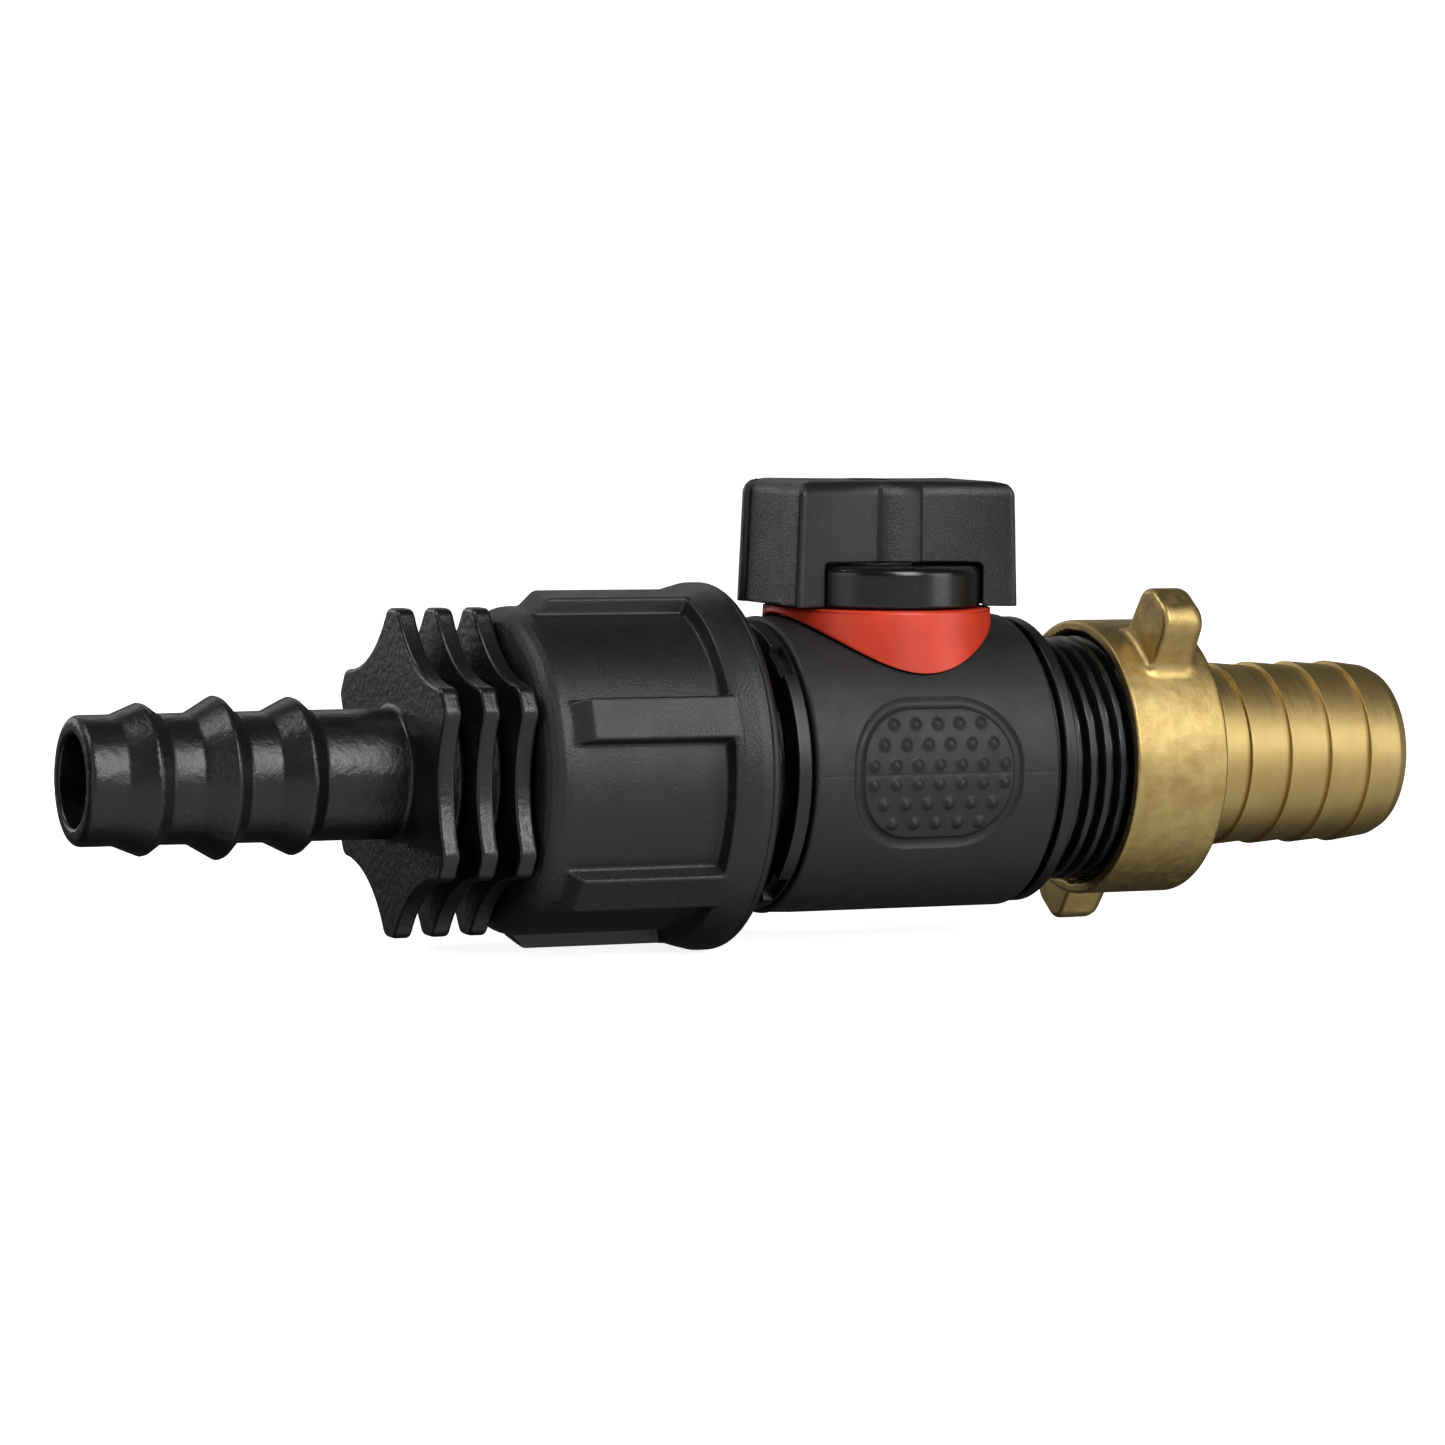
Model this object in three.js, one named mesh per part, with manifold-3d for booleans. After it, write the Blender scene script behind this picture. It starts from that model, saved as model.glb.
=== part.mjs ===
// In-line quarter-turn ball valve for a hose line.
// Millimetres, +Z up along the stem, +X along the flow towards the brass tail.
// The origin is where the stem axis crosses the flow axis.
import * as THREE from 'three';
import Module from 'manifold-3d';
import { mergeVertices } from 'three/addons/utils/BufferGeometryUtils.js';

const wasm = await Module();
wasm.setup();

// ---------- driving dimensions ----------
const GAP = 0.3;                 // gap left between pieces that touch
const RUN = 0.3;                 // radial running clearance of round pieces
const SEG = 36;                  // facets around large turned pieces
const THREAD_SEG = 22;           // facets around a threaded end
const SLEEVE_SEG = 48;           // facets around the sleeve
const SEG_SMALL = 24;            // facets around small turned pieces

// G 3/4 male ends
const THREAD_R = 13.16;          // crest radius
const THREAD_ROOT_R = THREAD_R - 1.16;
const THREAD_PITCH = 1.814;      // 14 threads to the inch
const THREAD_LEN = 13.0;         // inlet side, from the castellated ring
const THREAD_LEN_OUT = 12.2;     // outlet side, from the end ring

// ball and seats
const BALL_R = 10.5;
const BALL_BORE_R = BALL_R / 1.5;
const PORT_R = BALL_BORE_R + 0.5;                    // waterway through both male ends
const SEAT_IN_R = BALL_BORE_R + 0.4;
const SEAT_BACK = BALL_R - 0.6;                      // flat back of a seat, from the stem axis
const SEAT_FRONT = BALL_R / 2 - 0.05;

// valve body and the sleeve on it
const CAVITY_R = BALL_R + 0.4;
const SEAT_OUT_R = CAVITY_R - GAP;
const BARREL_R = CAVITY_R + 3.25;
const BARREL_HALF = BALL_R + 3.6;
const SLEEVE_IN_R = BARREL_R + GAP;
const SLEEVE_OUT_R = BARREL_R + 1.55;
const SLEEVE_HALF = BARREL_HALF + 0.05;
const END_RING_R = SLEEVE_OUT_R - 0.2;
const END_RING_W = 1.7;
const END_RING_GAP = 0.95;       // groove between the sleeve and the outlet ring

// end connector
const CONNECTOR_RING_R = SLEEVE_OUT_R - 0.3;
const CONNECTOR_RING_W = 1.6;
const PLUG_R = CAVITY_R + 1.4;
const GROOVE_R = PLUG_R - 1.4;
const GROOVE_HALF = 0.9;
const NOTCH_DEG = 16;
const NOTCH_SPREAD_DEG = 52.5;   // notch centres above and below each side of the ring
const NOTCH_TURN_DEG = -2;
const NOTCH_DEPTH = 0.9;
const NOTCH_RIM = 0.45;

// stem
const STEM_R = 4.1;
const STEM_SHOULDER_R = STEM_R + 1.1;
const STEM_SHOULDER_Z = BALL_R + GAP;
const STEM_SHOULDER_T = 1.4;
const STEM_WASHER_T = 0.6;
const TANG_T = 3.4;
const TANG_W = 7.6;
const TANG_DEPTH = 2.3;
const SQUARE = STEM_R + 1.5;
const ORING_MINOR = 0.6;
const NECK_R = STEM_R + 3.9;

// indicator collar and handle, stacked up from the sleeve
const COLLAR_TOP = SLEEVE_OUT_R + 0.9;
const COLLAR_WALL = 1.5;
const COLLAR_PLATE = 1.2;
const DISC_R = NECK_R + 3.0;
const COLLAR_TOP_R = DISC_R + 1.1;
const COLLAR_FOOT_R = COLLAR_TOP_R + 0.4;
const DISC_Z = COLLAR_TOP + GAP;
const DISC_TOP = DISC_Z + 4.3;
const DISC_WEB = 2.0;
const NECK_TOP = DISC_Z + 2.0;
const STEM_ORING_Z = [NECK_TOP - 3.9, NECK_TOP - 1.6];
const SQUARE_TOP = DISC_TOP + 3.7;
const KNOB_Z = DISC_Z;
const KNOB_HEIGHT = 13.2;
const KNOB_TOP = KNOB_Z + KNOB_HEIGHT;
const KNOB_HALF_X = DISC_R + 2.0;
const KNOB_HALF_Y = 7.75;
const KNOB_WAIST_X = DISC_R + 1.3;
const KNOB_HUB_R = 6.2;
const KNOB_DRAFT = 0.032;        // shrink of the plan from foot to top
const KNOB_EDGE = 1.3;
const SCREW_HEAD_R = 2.7;
const SCREW_SHANK_R = 1.3;
const SCREW_RECESS_R = 3.1;
const RECESS_FLOOR = KNOB_TOP - 3.5;
const QUARTER_TURN_DEG = 90;
const LUG_HALF_DEG = 18;
const STOP_PLAY_DEG = 2;

// inlet tail for 13 mm hose
const INLET_TIP = -88.8;
const INLET_TUBE_R = 6.6;
const INLET_BORE_R = 4.7;
const INLET_BARB_FIRST = 7.0;
const INLET_BARB_PITCH = 8.0;
const INLET_BARB_RISE = [1.1, 1.65, 1.35];
const PLATE_X = -55.0;
const PLATE_PITCH = 4.15;
const PLATE_T = 1.9;
const PLATES = 3;
const PLATE_TIP_R = 16.9;
const PLATE_FLANK_R = 13.5;
const PLATE_TIP_HALF = 1.55;
const CORE_R = 10.0;
const TAIL_COLLAR_R = THREAD_R - 0.76;
const WASHER_T = 2.0;

// union nut
const NUT_WALL = 3.2;
const NUT_R = THREAD_R + 3.84;
const NUT_BORE_R = THREAD_R + 0.44;
const NUT_BACK = -19.65;
const NUT_FLANGE_W = 5.25;
const NUT_FLANGE_R = NUT_R + 2.3;
const NUT_SHOULDER = 2.7;
const RIBS = 6;
const RIB_W = 4.5;
const RIB_TOP = NUT_R + 1.6;
const RIB_BEVEL = 1.6;
const RIB_FIRST_DEG = 9;         // turn of the first rib from straight up

// wing nut and brass tail for 19 mm hose
const WING_LEN = 11.1;
const WING_R = THREAD_R + 1.71;
const WING_WALL = 1.5;
const EAR_DEG = 56;
const EAR_TOP_R = WING_R + 6.63;
const EAR_HALF = 3.55;
const EAR_LEN = 5.2;
const OUT_WASHER_T = 1.7;
const OUT_FLANGE_R = THREAD_R - 0.76;
const OUT_FLANGE_T = 2.0;
const OUT_TUBE_R = 9.75;
const OUT_BARB_RISE = 0.3;
const OUT_BARB_X = 40.7;
const OUT_BARB_PITCH = 5.0;
const OUT_BARBS = 4;
const OUT_END = 61.0;
const OUT_BORE_R = 7.6;

// ---------- derived positions ----------
const RING_X = BARREL_HALF + GAP;                    // inner face of the castellated ring
const INLET_THREAD_X = -(RING_X + CONNECTOR_RING_W);
const INLET_FACE = INLET_THREAD_X - THREAD_LEN;
const END_RING_X = SLEEVE_HALF + END_RING_GAP;
const OUTLET_THREAD_X = END_RING_X + END_RING_W;
const OUTLET_FACE = OUTLET_THREAD_X + THREAD_LEN_OUT;
const WING_X = OUTLET_FACE - 5.0;
const EAR_X = WING_X + 3.4;
const CONNECTOR_GROOVE_X = -(RING_X - 2.2);
const NECK_BACK = PLATE_X + (PLATES - 1) * PLATE_PITCH + PLATE_T;
const NUT_FRONT = NECK_BACK + GAP;
const TAIL_FACE = INLET_FACE - WASHER_T - 2 * GAP;
const COLLAR_BACK = NUT_FRONT + NUT_WALL + GAP;
const RAD = Math.PI / 180;

// ---------- solids ----------
function solid(geometry) {
  const bare = new THREE.BufferGeometry();
  bare.setAttribute('position', geometry.getAttribute('position').clone());
  if (geometry.index) bare.setIndex(geometry.index.clone());
  const merged = mergeVertices(bare, 1e-4);
  const p = merged.getAttribute('position').array;
  const source = merged.index.array;
  const tris = [];
  let volume = 0;
  for (let i = 0; i < source.length; i += 3) {
    const [a, b, c] = [source[i], source[i + 1], source[i + 2]];
    if (a === b || b === c || a === c) continue;
    tris.push(a, b, c);
    volume += p[3 * a] * (p[3 * b + 1] * p[3 * c + 2] - p[3 * b + 2] * p[3 * c + 1])
      - p[3 * a + 1] * (p[3 * b] * p[3 * c + 2] - p[3 * b + 2] * p[3 * c])
      + p[3 * a + 2] * (p[3 * b] * p[3 * c + 1] - p[3 * b + 1] * p[3 * c]);
  }
  if (volume < 0) tris.reverse();
  const mesh = new wasm.Mesh({
    numProp: 3,
    vertProperties: new Float32Array(p),
    triVerts: new Uint32Array(tris),
  });
  return new wasm.Manifold(mesh);
}

function join(...parts) {
  return parts.reduce((all, part) => all.add(part));
}

function cut(base, ...tools) {
  return tools.reduce((left, tool) => left.subtract(tool), base);
}

// closed profile of [along, radius] pairs turned about X
function turnX(profile, segments = SEG) {
  const points = profile.map(([along, radius]) => new THREE.Vector2(radius, along));
  const first = points[0];
  const last = points[points.length - 1];
  if (first.x > 1e-6 || last.x > 1e-6) points.push(first.clone());
  return solid(new THREE.LatheGeometry(points, segments).rotateZ(-Math.PI / 2));
}

// the same about Z
function turnZ(profile, segments = SEG) {
  const points = profile.map(([along, radius]) => new THREE.Vector2(radius, along));
  const first = points[0];
  const last = points[points.length - 1];
  if (first.x > 1e-6 || last.x > 1e-6) points.push(first.clone());
  return solid(new THREE.LatheGeometry(points, segments).rotateX(Math.PI / 2));
}

function rodX(x0, x1, r, segments = SEG) {
  return turnX([[x0, 0], [x0, r], [x1, r], [x1, 0]], segments);
}

function rodZ(z0, z1, r, segments = SEG) {
  return turnZ([[z0, 0], [z0, r], [z1, r], [z1, 0]], segments);
}

function tubeX(x0, x1, inner, outer, segments = SEG) {
  return turnX([[x0, inner], [x0, outer], [x1, outer], [x1, inner]], segments);
}

function block(x0, x1, y0, y1, z0, z1) {
  const box = new THREE.BoxGeometry(x1 - x0, y1 - y0, z1 - z0);
  return solid(box.translate((x0 + x1) / 2, (y0 + y1) / 2, (z0 + z1) / 2));
}

// outline of [y, z] pairs swept along X
function sweepX(outline, x0, x1) {
  const shape = new THREE.Shape(outline.map(([y, z]) => new THREE.Vector2(y, z)));
  const body = new THREE.ExtrudeGeometry(shape, { depth: x1 - x0, bevelEnabled: false });
  const turn = new THREE.Matrix4().makeBasis(
    new THREE.Vector3(0, 1, 0),
    new THREE.Vector3(0, 0, 1),
    new THREE.Vector3(1, 0, 0),
  );
  return solid(body.applyMatrix4(turn).translate(x0, 0, 0));
}

// outline of [x, z] pairs swept along Y
function sweepY(outline, y0, y1) {
  const shape = new THREE.Shape(outline.map(([x, z]) => new THREE.Vector2(x, z)));
  const body = new THREE.ExtrudeGeometry(shape, { depth: y1 - y0, bevelEnabled: false });
  return solid(body.rotateX(Math.PI / 2).translate(0, y1, 0));
}

// outline of [x, y] pairs swept along Z
function sweepZ(outline, z0, z1) {
  const shape = new THREE.Shape(outline.map(([x, y]) => new THREE.Vector2(x, y)));
  const body = new THREE.ExtrudeGeometry(shape, { depth: z1 - z0, bevelEnabled: false });
  return solid(body.translate(0, 0, z0));
}

function turned(part, degrees) {
  return part.rotate([degrees, 0, 0]);
}

function oring(axisTurn, radius, minor) {
  const profile = [];
  for (let i = 0; i < 6; i += 1) {
    const a = (i + 0.5) * Math.PI / 3;
    profile.push([axisTurn.at + minor * Math.cos(a), radius + minor * Math.sin(a)]);
  }
  return axisTurn.turn(profile, SEG_SMALL);
}

// quarter arc of [along, radius] pairs for a rounded edge
function arc(cx, cr, r, fromDeg, toDeg, steps) {
  const points = [];
  for (let i = 0; i <= steps; i += 1) {
    const a = (fromDeg + (toDeg - fromDeg) * i / steps) * RAD;
    points.push([cx + r * Math.cos(a), cr + r * Math.sin(a)]);
  }
  return points;
}

// right-hand helical ridge about X with a flat-topped tooth
function ridge(x0, x1) {
  const perTurn = THREAD_SEG;
  const foot = THREAD_ROOT_R - 0.15;
  const tooth = [[-0.72, foot], [-0.22, THREAD_R], [0.22, THREAD_R], [0.72, foot]];
  const steps = Math.ceil((x1 - x0) / THREAD_PITCH * perTurn);
  const positions = [];
  const index = [];
  for (let i = 0; i <= steps; i += 1) {
    const a = i / perTurn * 2 * Math.PI;
    const x = x0 + i / perTurn * THREAD_PITCH;
    tooth.forEach(([dx, r]) => positions.push(x + dx, r * Math.cos(a), r * Math.sin(a)));
  }
  const n = tooth.length;
  for (let i = 0; i < steps; i += 1) {
    for (let j = 0; j < n; j += 1) {
      const k = (j + 1) % n;
      const a = i * n + j;
      const b = i * n + k;
      index.push(a, a + n, b, b, a + n, b + n);
    }
  }
  const e = steps * n;
  index.push(0, 1, 2, 0, 2, 3, e, e + 2, e + 1, e, e + 3, e + 2);
  const body = new THREE.BufferGeometry();
  body.setAttribute('position', new THREE.Float32BufferAttribute(positions, 3));
  body.setIndex(index);
  return solid(body);
}

// male thread from xa to xb, bevelled at xb
function maleThread(xa, xb) {
  const dir = Math.sign(xb - xa);
  const lo = Math.min(xa, xb);
  const hi = Math.max(xa, xb);
  const wide = THREAD_R + 0.5;
  const envelope = turnX([
    [xa - dir * 0.4, 0], [xa - dir * 0.4, wide], [xb - dir * 1.9, wide],
    [xb - dir * 0.6, THREAD_ROOT_R - 0.2], [xb - dir * 0.6, 0],
  ]);
  return ridge(lo - THREAD_PITCH, hi + THREAD_PITCH).intersect(envelope);
}

// six-pointed plate outline with hollow flanks
function plateOutline() {
  const points = [];
  const chord = PLATE_TIP_R * Math.sin(30 * RAD) - PLATE_TIP_HALF * Math.cos(30 * RAD);
  const reach = PLATE_TIP_R * Math.cos(30 * RAD) + PLATE_TIP_HALF * Math.sin(30 * RAD);
  const sag = reach - PLATE_FLANK_R;
  const radius = (chord * chord + sag * sag) / (2 * sag);
  const centre = PLATE_FLANK_R + radius;
  const sweep = Math.asin(chord / radius);
  for (let k = 0; k < 6; k += 1) {
    const mid = (60 * k + 60) * RAD;
    const n = 6;
    for (let i = 0; i <= n; i += 1) {
      const a = -sweep + 2 * sweep * i / n;
      const out = centre - radius * Math.cos(a);
      const side = radius * Math.sin(a);
      points.push([
        out * Math.cos(mid) - side * Math.sin(mid),
        out * Math.sin(mid) + side * Math.cos(mid),
      ]);
    }
  }
  return points;
}

// ---------- inlet side ----------
function inletHoseTail() {
  const outer = [[INLET_TIP, INLET_BORE_R], ...arc(INLET_TIP + 0.8, 5.85, 0.8, 180, 100, 3)];
  INLET_BARB_RISE.forEach((rise, i) => {
    const crest = INLET_TIP + INLET_BARB_FIRST + i * INLET_BARB_PITCH;
    const r = INLET_TUBE_R + 0.04 * i;
    outer.push([crest - 2.6 - 0.2 * (rise - 1), r]);
    outer.push([crest - 0.25, r + rise]);
    outer.push([crest + 0.35, r + rise * 0.93]);
    outer.push([crest + 1.75, r]);
  });
  outer.push([PLATE_X - 1.9, INLET_TUBE_R + 0.1]);
  outer.push([PLATE_X - 0.8, INLET_TUBE_R + 0.5]);
  outer.push([PLATE_X, INLET_TUBE_R + 1.5]);
  outer.push([PLATE_X, CORE_R]);
  outer.push([COLLAR_BACK, CORE_R]);
  outer.push([COLLAR_BACK, TAIL_COLLAR_R]);
  outer.push([TAIL_FACE, TAIL_COLLAR_R]);
  const bore = [[TAIL_FACE, PORT_R], [COLLAR_BACK - 2, PORT_R], [PLATE_X, INLET_BORE_R]];
  const body = turnX([...outer, ...bore]);
  const throat = rodX(PLATE_X - 1, TAIL_FACE + 1, CORE_R - 1);
  const plates = [];
  for (let i = 0; i < PLATES; i += 1) {
    const x = PLATE_X + i * PLATE_PITCH;
    plates.push(cut(sweepX(plateOutline(), x, x + PLATE_T), throat));
  }
  return join(body, ...plates);
}

function unionNut() {
  const s = NUT_SHOULDER;
  const flange = NUT_BACK - NUT_FLANGE_W;
  const mouth = NUT_BORE_R + 0.7;
  const hole = CORE_R + RUN;
  const body = turnX([
    [NUT_FRONT, hole],
    ...arc(NUT_FRONT + s, NUT_R - s, s, 180, 90, 5),
    [flange + 0.1, NUT_R], [flange + 0.5, RIB_TOP - 0.1],
    [flange + 1.4, RIB_TOP + 0.25], [flange + 2.6, NUT_FLANGE_R - 0.1],
    [flange + 3.6, NUT_FLANGE_R], [NUT_BACK - 0.5, NUT_FLANGE_R - 0.1],
    [NUT_BACK, NUT_FLANGE_R - 0.55],
    [NUT_BACK, mouth], [NUT_BACK - 0.9, NUT_BORE_R],
    [NUT_FRONT + NUT_WALL, NUT_BORE_R], [NUT_FRONT + NUT_WALL, hole],
  ], 48);
  const start = NUT_FRONT + s + 0.4;
  const side = [
    [start, NUT_R - 1.5], [start, NUT_R - 0.15], [start + RIB_BEVEL, RIB_TOP],
    [flange + 0.9, RIB_TOP], [flange + 0.9, NUT_R - 1.5],
  ];
  const ribs = [];
  for (let k = 0; k < RIBS; k += 1) {
    ribs.push(turned(sweepY(side, -RIB_W / 2, RIB_W / 2), RIB_FIRST_DEG + 360 / RIBS * k));
  }
  return join(body, ...ribs);
}

function inletWasher() {
  return tubeX(INLET_FACE - GAP - WASHER_T, INLET_FACE - GAP, PORT_R, TAIL_COLLAR_R - 0.2, 36);
}

function endConnector() {
  const ringOut = -RING_X;
  const end = -(SEAT_BACK + GAP);
  const groove = CONNECTOR_GROOVE_X;
  const g = GROOVE_HALF;
  const core = turnX([
    [INLET_FACE, PORT_R], [INLET_FACE, THREAD_ROOT_R - 0.5], [INLET_FACE + 0.5, THREAD_ROOT_R],
    [INLET_THREAD_X, THREAD_ROOT_R], [INLET_THREAD_X, CONNECTOR_RING_R],
    [ringOut, CONNECTOR_RING_R], [ringOut, PLUG_R],
    [groove - g, PLUG_R], [groove - g, GROOVE_R], [groove + g, GROOVE_R], [groove + g, PLUG_R],
    [end, PLUG_R], [end, PORT_R],
  ], THREAD_SEG);
  const notches = [];
  const half = NOTCH_DEG / 2 * RAD;
  const inner = CONNECTOR_RING_R - NOTCH_DEPTH;
  const far = CONNECTOR_RING_R + 2;
  const outline = [
    [-inner * Math.cos(half), -inner * Math.sin(half)],
    [-far * Math.cos(half), -far * Math.sin(half)],
    [-far * Math.cos(half), far * Math.sin(half)],
    [-inner * Math.cos(half), inner * Math.sin(half)],
  ];
  [0, 180].forEach((side) => {
    [NOTCH_SPREAD_DEG, -NOTCH_SPREAD_DEG].forEach((spread) => {
      const notch = sweepX(outline, INLET_THREAD_X - 1, ringOut - NOTCH_RIM);
      notches.push(turned(notch, -(NOTCH_TURN_DEG + spread + side)));
    });
  });
  const ringed = cut(core, ...notches);
  return join(ringed, maleThread(INLET_THREAD_X - 0.6, INLET_FACE));
}

function connectorOring() {
  const minor = 0.68;
  return oring({ turn: turnX, at: CONNECTOR_GROOVE_X }, GROOVE_R + minor + 0.19, minor);
}

// ---------- valve ----------
function seat(side) {
  const contact = BALL_R + GAP;
  const at = (r) => Math.sqrt(contact * contact - r * r);
  const rim = Math.sqrt(contact * contact - SEAT_FRONT * SEAT_FRONT);
  const profile = [[SEAT_BACK, SEAT_IN_R], [SEAT_BACK, SEAT_OUT_R], [SEAT_FRONT, SEAT_OUT_R]];
  for (let i = 0; i <= 2; i += 1) {
    const r = rim + (SEAT_IN_R - rim) * i / 2;
    profile.push([at(r), r]);
  }
  return turnX(profile.map(([x, r]) => [side * x, r]), SEG_SMALL);
}

function ball() {
  const sphere = solid(new THREE.SphereGeometry(BALL_R, 28, 16).rotateX(Math.PI / 2));
  const slotFloor = BALL_R - TANG_DEPTH;
  const slot = block(-TANG_T / 2 - GAP, TANG_T / 2 + GAP, -BALL_R, BALL_R, slotFloor, BALL_R + 1);
  return cut(sphere, rodX(-BALL_R - 1, BALL_R + 1, BALL_BORE_R, SEG_SMALL), slot);
}

function valveBody() {
  const shell = turnX([
    [-BARREL_HALF, PLUG_R + GAP], [-BARREL_HALF, BARREL_R], [END_RING_X, BARREL_R],
    [END_RING_X, END_RING_R - 0.25], [END_RING_X + 0.25, END_RING_R],
    [OUTLET_THREAD_X - 0.25, END_RING_R], [OUTLET_THREAD_X, END_RING_R - 0.25],
    [OUTLET_THREAD_X, THREAD_ROOT_R], [OUTLET_FACE - 0.5, THREAD_ROOT_R],
    [OUTLET_FACE, THREAD_ROOT_R - 0.5], [OUTLET_FACE, PORT_R],
    [SEAT_BACK + GAP, PORT_R], [SEAT_BACK + GAP, CAVITY_R],
    [-SEAT_BACK, CAVITY_R], [-SEAT_BACK, PLUG_R + GAP],
  ], THREAD_SEG);
  const neck = rodZ(CAVITY_R + 0.8, NECK_TOP, NECK_R, 36);
  const lugOuter = sector(NECK_R - 1, NECK_R + 1.3, 90 - LUG_HALF_DEG, 90 + LUG_HALF_DEG);
  const lug = sweepZ(lugOuter, DISC_Z + 0.2, NECK_TOP);
  const washerTop = STEM_SHOULDER_Z + STEM_SHOULDER_T + STEM_WASHER_T + 2 * 0.2;
  const stemHole = rodZ(0, NECK_TOP + 1, STEM_R + RUN, SEG_SMALL);
  const shoulderHole = rodZ(0, washerTop + 0.2, STEM_SHOULDER_R + RUN, SEG_SMALL);
  const saved = rodX(-SEAT_BACK, SEAT_BACK, CAVITY_R, THREAD_SEG);
  const bonnet = cut(neck, saved);
  return join(cut(join(shell, bonnet, lug), stemHole, shoulderHole),
    maleThread(OUTLET_THREAD_X + 0.6, OUTLET_FACE));
}

// ring sector outline in plan, angles in degrees from +X
function sector(inner, outer, fromDeg, toDeg) {
  const steps = Math.max(2, Math.ceil((toDeg - fromDeg) / 12));
  const points = [];
  for (let i = 0; i <= steps; i += 1) {
    const a = (fromDeg + (toDeg - fromDeg) * i / steps) * RAD;
    points.push([outer * Math.cos(a), outer * Math.sin(a)]);
  }
  for (let i = steps; i >= 0; i -= 1) {
    const a = (fromDeg + (toDeg - fromDeg) * i / steps) * RAD;
    points.push([inner * Math.cos(a), inner * Math.sin(a)]);
  }
  return points;
}

// rounded rectangle of [x, z] pairs
function roundRect(halfX, halfZ, r, steps) {
  const points = [];
  const corners = [[1, 1, 0], [-1, 1, 90], [-1, -1, 180], [1, -1, 270]];
  corners.forEach(([sx, sz, from]) => {
    for (let i = 0; i <= steps; i += 1) {
      const a = (from + 90 * i / steps) * RAD;
      points.push([sx * (halfX - r) + r * Math.cos(a), sz * (halfZ - r) + r * Math.sin(a)]);
    }
  });
  return points;
}

function gripSleeve() {
  const e = 0.35;
  const tube = turnX([
    [-SLEEVE_HALF, SLEEVE_IN_R], [-SLEEVE_HALF, SLEEVE_OUT_R - e],
    [-SLEEVE_HALF + e, SLEEVE_OUT_R], [SLEEVE_HALF - e, SLEEVE_OUT_R],
    [SLEEVE_HALF, SLEEVE_OUT_R - e], [SLEEVE_HALF, SLEEVE_IN_R],
  ], SLEEVE_SEG);
  const neckHole = rodZ(5, SLEEVE_OUT_R + 2, NECK_R + 0.8, 36);
  const floor = rodX(-SLEEVE_HALF, SLEEVE_HALF, SLEEVE_OUT_R - 0.35, SLEEVE_SEG);
  const band = cut(
    sweepY(roundRect(9.85, 7.85, 6.2, 4), 4, SLEEVE_OUT_R + 2),
    sweepY(roundRect(8.6, 6.75, 5.0, 4), 3, SLEEVE_OUT_R + 3),
    floor,
  );
  let sleeve = cut(tube, neckHole, band, band.rotate([0, 0, 180]));
  const dot = turnZ([[-0.3, 0], [-0.3, 0.8], [0.34, 0]], 6);
  const rows = [7, 6, 5];
  const dots = [];
  rows.forEach((count, row) => {
    for (let k = 0; k < count; k += 1) {
      const x = (k - (count - 1) / 2) * 2.53;
      const lift = 3.6 + 7.8 * row;
      [lift, -lift, 180 + lift, 180 - lift].forEach((degrees) => {
        dots.push(dot.translate([0, 0, SLEEVE_OUT_R - 0.03]).rotate([degrees + 90, 0, 0])
          .translate([x, 0, 0]));
      });
    }
  });
  sleeve = join(sleeve, ...dots);
  return sleeve;
}

function indicatorCollar() {
  const foot = 9.0;
  const inner = NECK_R + GAP;
  const shell = turnZ([
    [foot, COLLAR_FOOT_R - COLLAR_WALL], [foot, COLLAR_FOOT_R],
    [(foot + COLLAR_TOP) / 2, (COLLAR_FOOT_R + COLLAR_TOP_R) / 2 - 0.08],
    [COLLAR_TOP - 1.2, COLLAR_TOP_R + 0.02], [COLLAR_TOP - 0.3, COLLAR_TOP_R],
    [COLLAR_TOP, COLLAR_TOP_R - 0.3], [COLLAR_TOP, inner], [COLLAR_TOP - COLLAR_PLATE, inner],
    [COLLAR_TOP - COLLAR_PLATE, COLLAR_TOP_R - COLLAR_WALL],
  ], 48);
  return cut(shell, rodX(-20, 20, SLEEVE_OUT_R + GAP, SLEEVE_SEG));
}

function stem() {
  const shoulderTop = STEM_SHOULDER_Z + STEM_SHOULDER_T;
  const g = ORING_MINOR + 0.3;
  const rootR = STEM_R - 1.1;
  const profile = [
    [STEM_SHOULDER_Z, 0], [STEM_SHOULDER_Z, STEM_SHOULDER_R], [shoulderTop, STEM_SHOULDER_R],
    [shoulderTop, STEM_R],
  ];
  STEM_ORING_Z.forEach((z) => {
    profile.push([z - g, STEM_R], [z - g, rootR], [z + g, rootR], [z + g, STEM_R]);
  });
  profile.push([NECK_TOP, STEM_R], [NECK_TOP, 0]);
  const shaft = turnZ(profile, SEG_SMALL);
  const h = SQUARE / 2;
  const drive = block(-h, h, -h, h, NECK_TOP - 0.5, SQUARE_TOP);
  const tang = block(-TANG_T / 2, TANG_T / 2, -TANG_W / 2, TANG_W / 2,
    BALL_R - TANG_DEPTH + GAP, STEM_SHOULDER_Z + 0.3);
  const screwHole = rodZ(NECK_TOP + 0.6, SQUARE_TOP + 1, SCREW_SHANK_R + GAP, 20);
  return cut(join(shaft, drive, tang), screwHole);
}

function stemWasher() {
  const z = STEM_SHOULDER_Z + STEM_SHOULDER_T + 0.2;
  return turnZ([
    [z, STEM_R + RUN], [z, STEM_SHOULDER_R], [z + STEM_WASHER_T, STEM_SHOULDER_R],
    [z + STEM_WASHER_T, STEM_R + RUN],
  ], SEG_SMALL);
}

function stemOring(z) {
  return oring({ turn: turnZ, at: z }, STEM_R - 1.1 + 0.1 + ORING_MINOR, ORING_MINOR);
}

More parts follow.
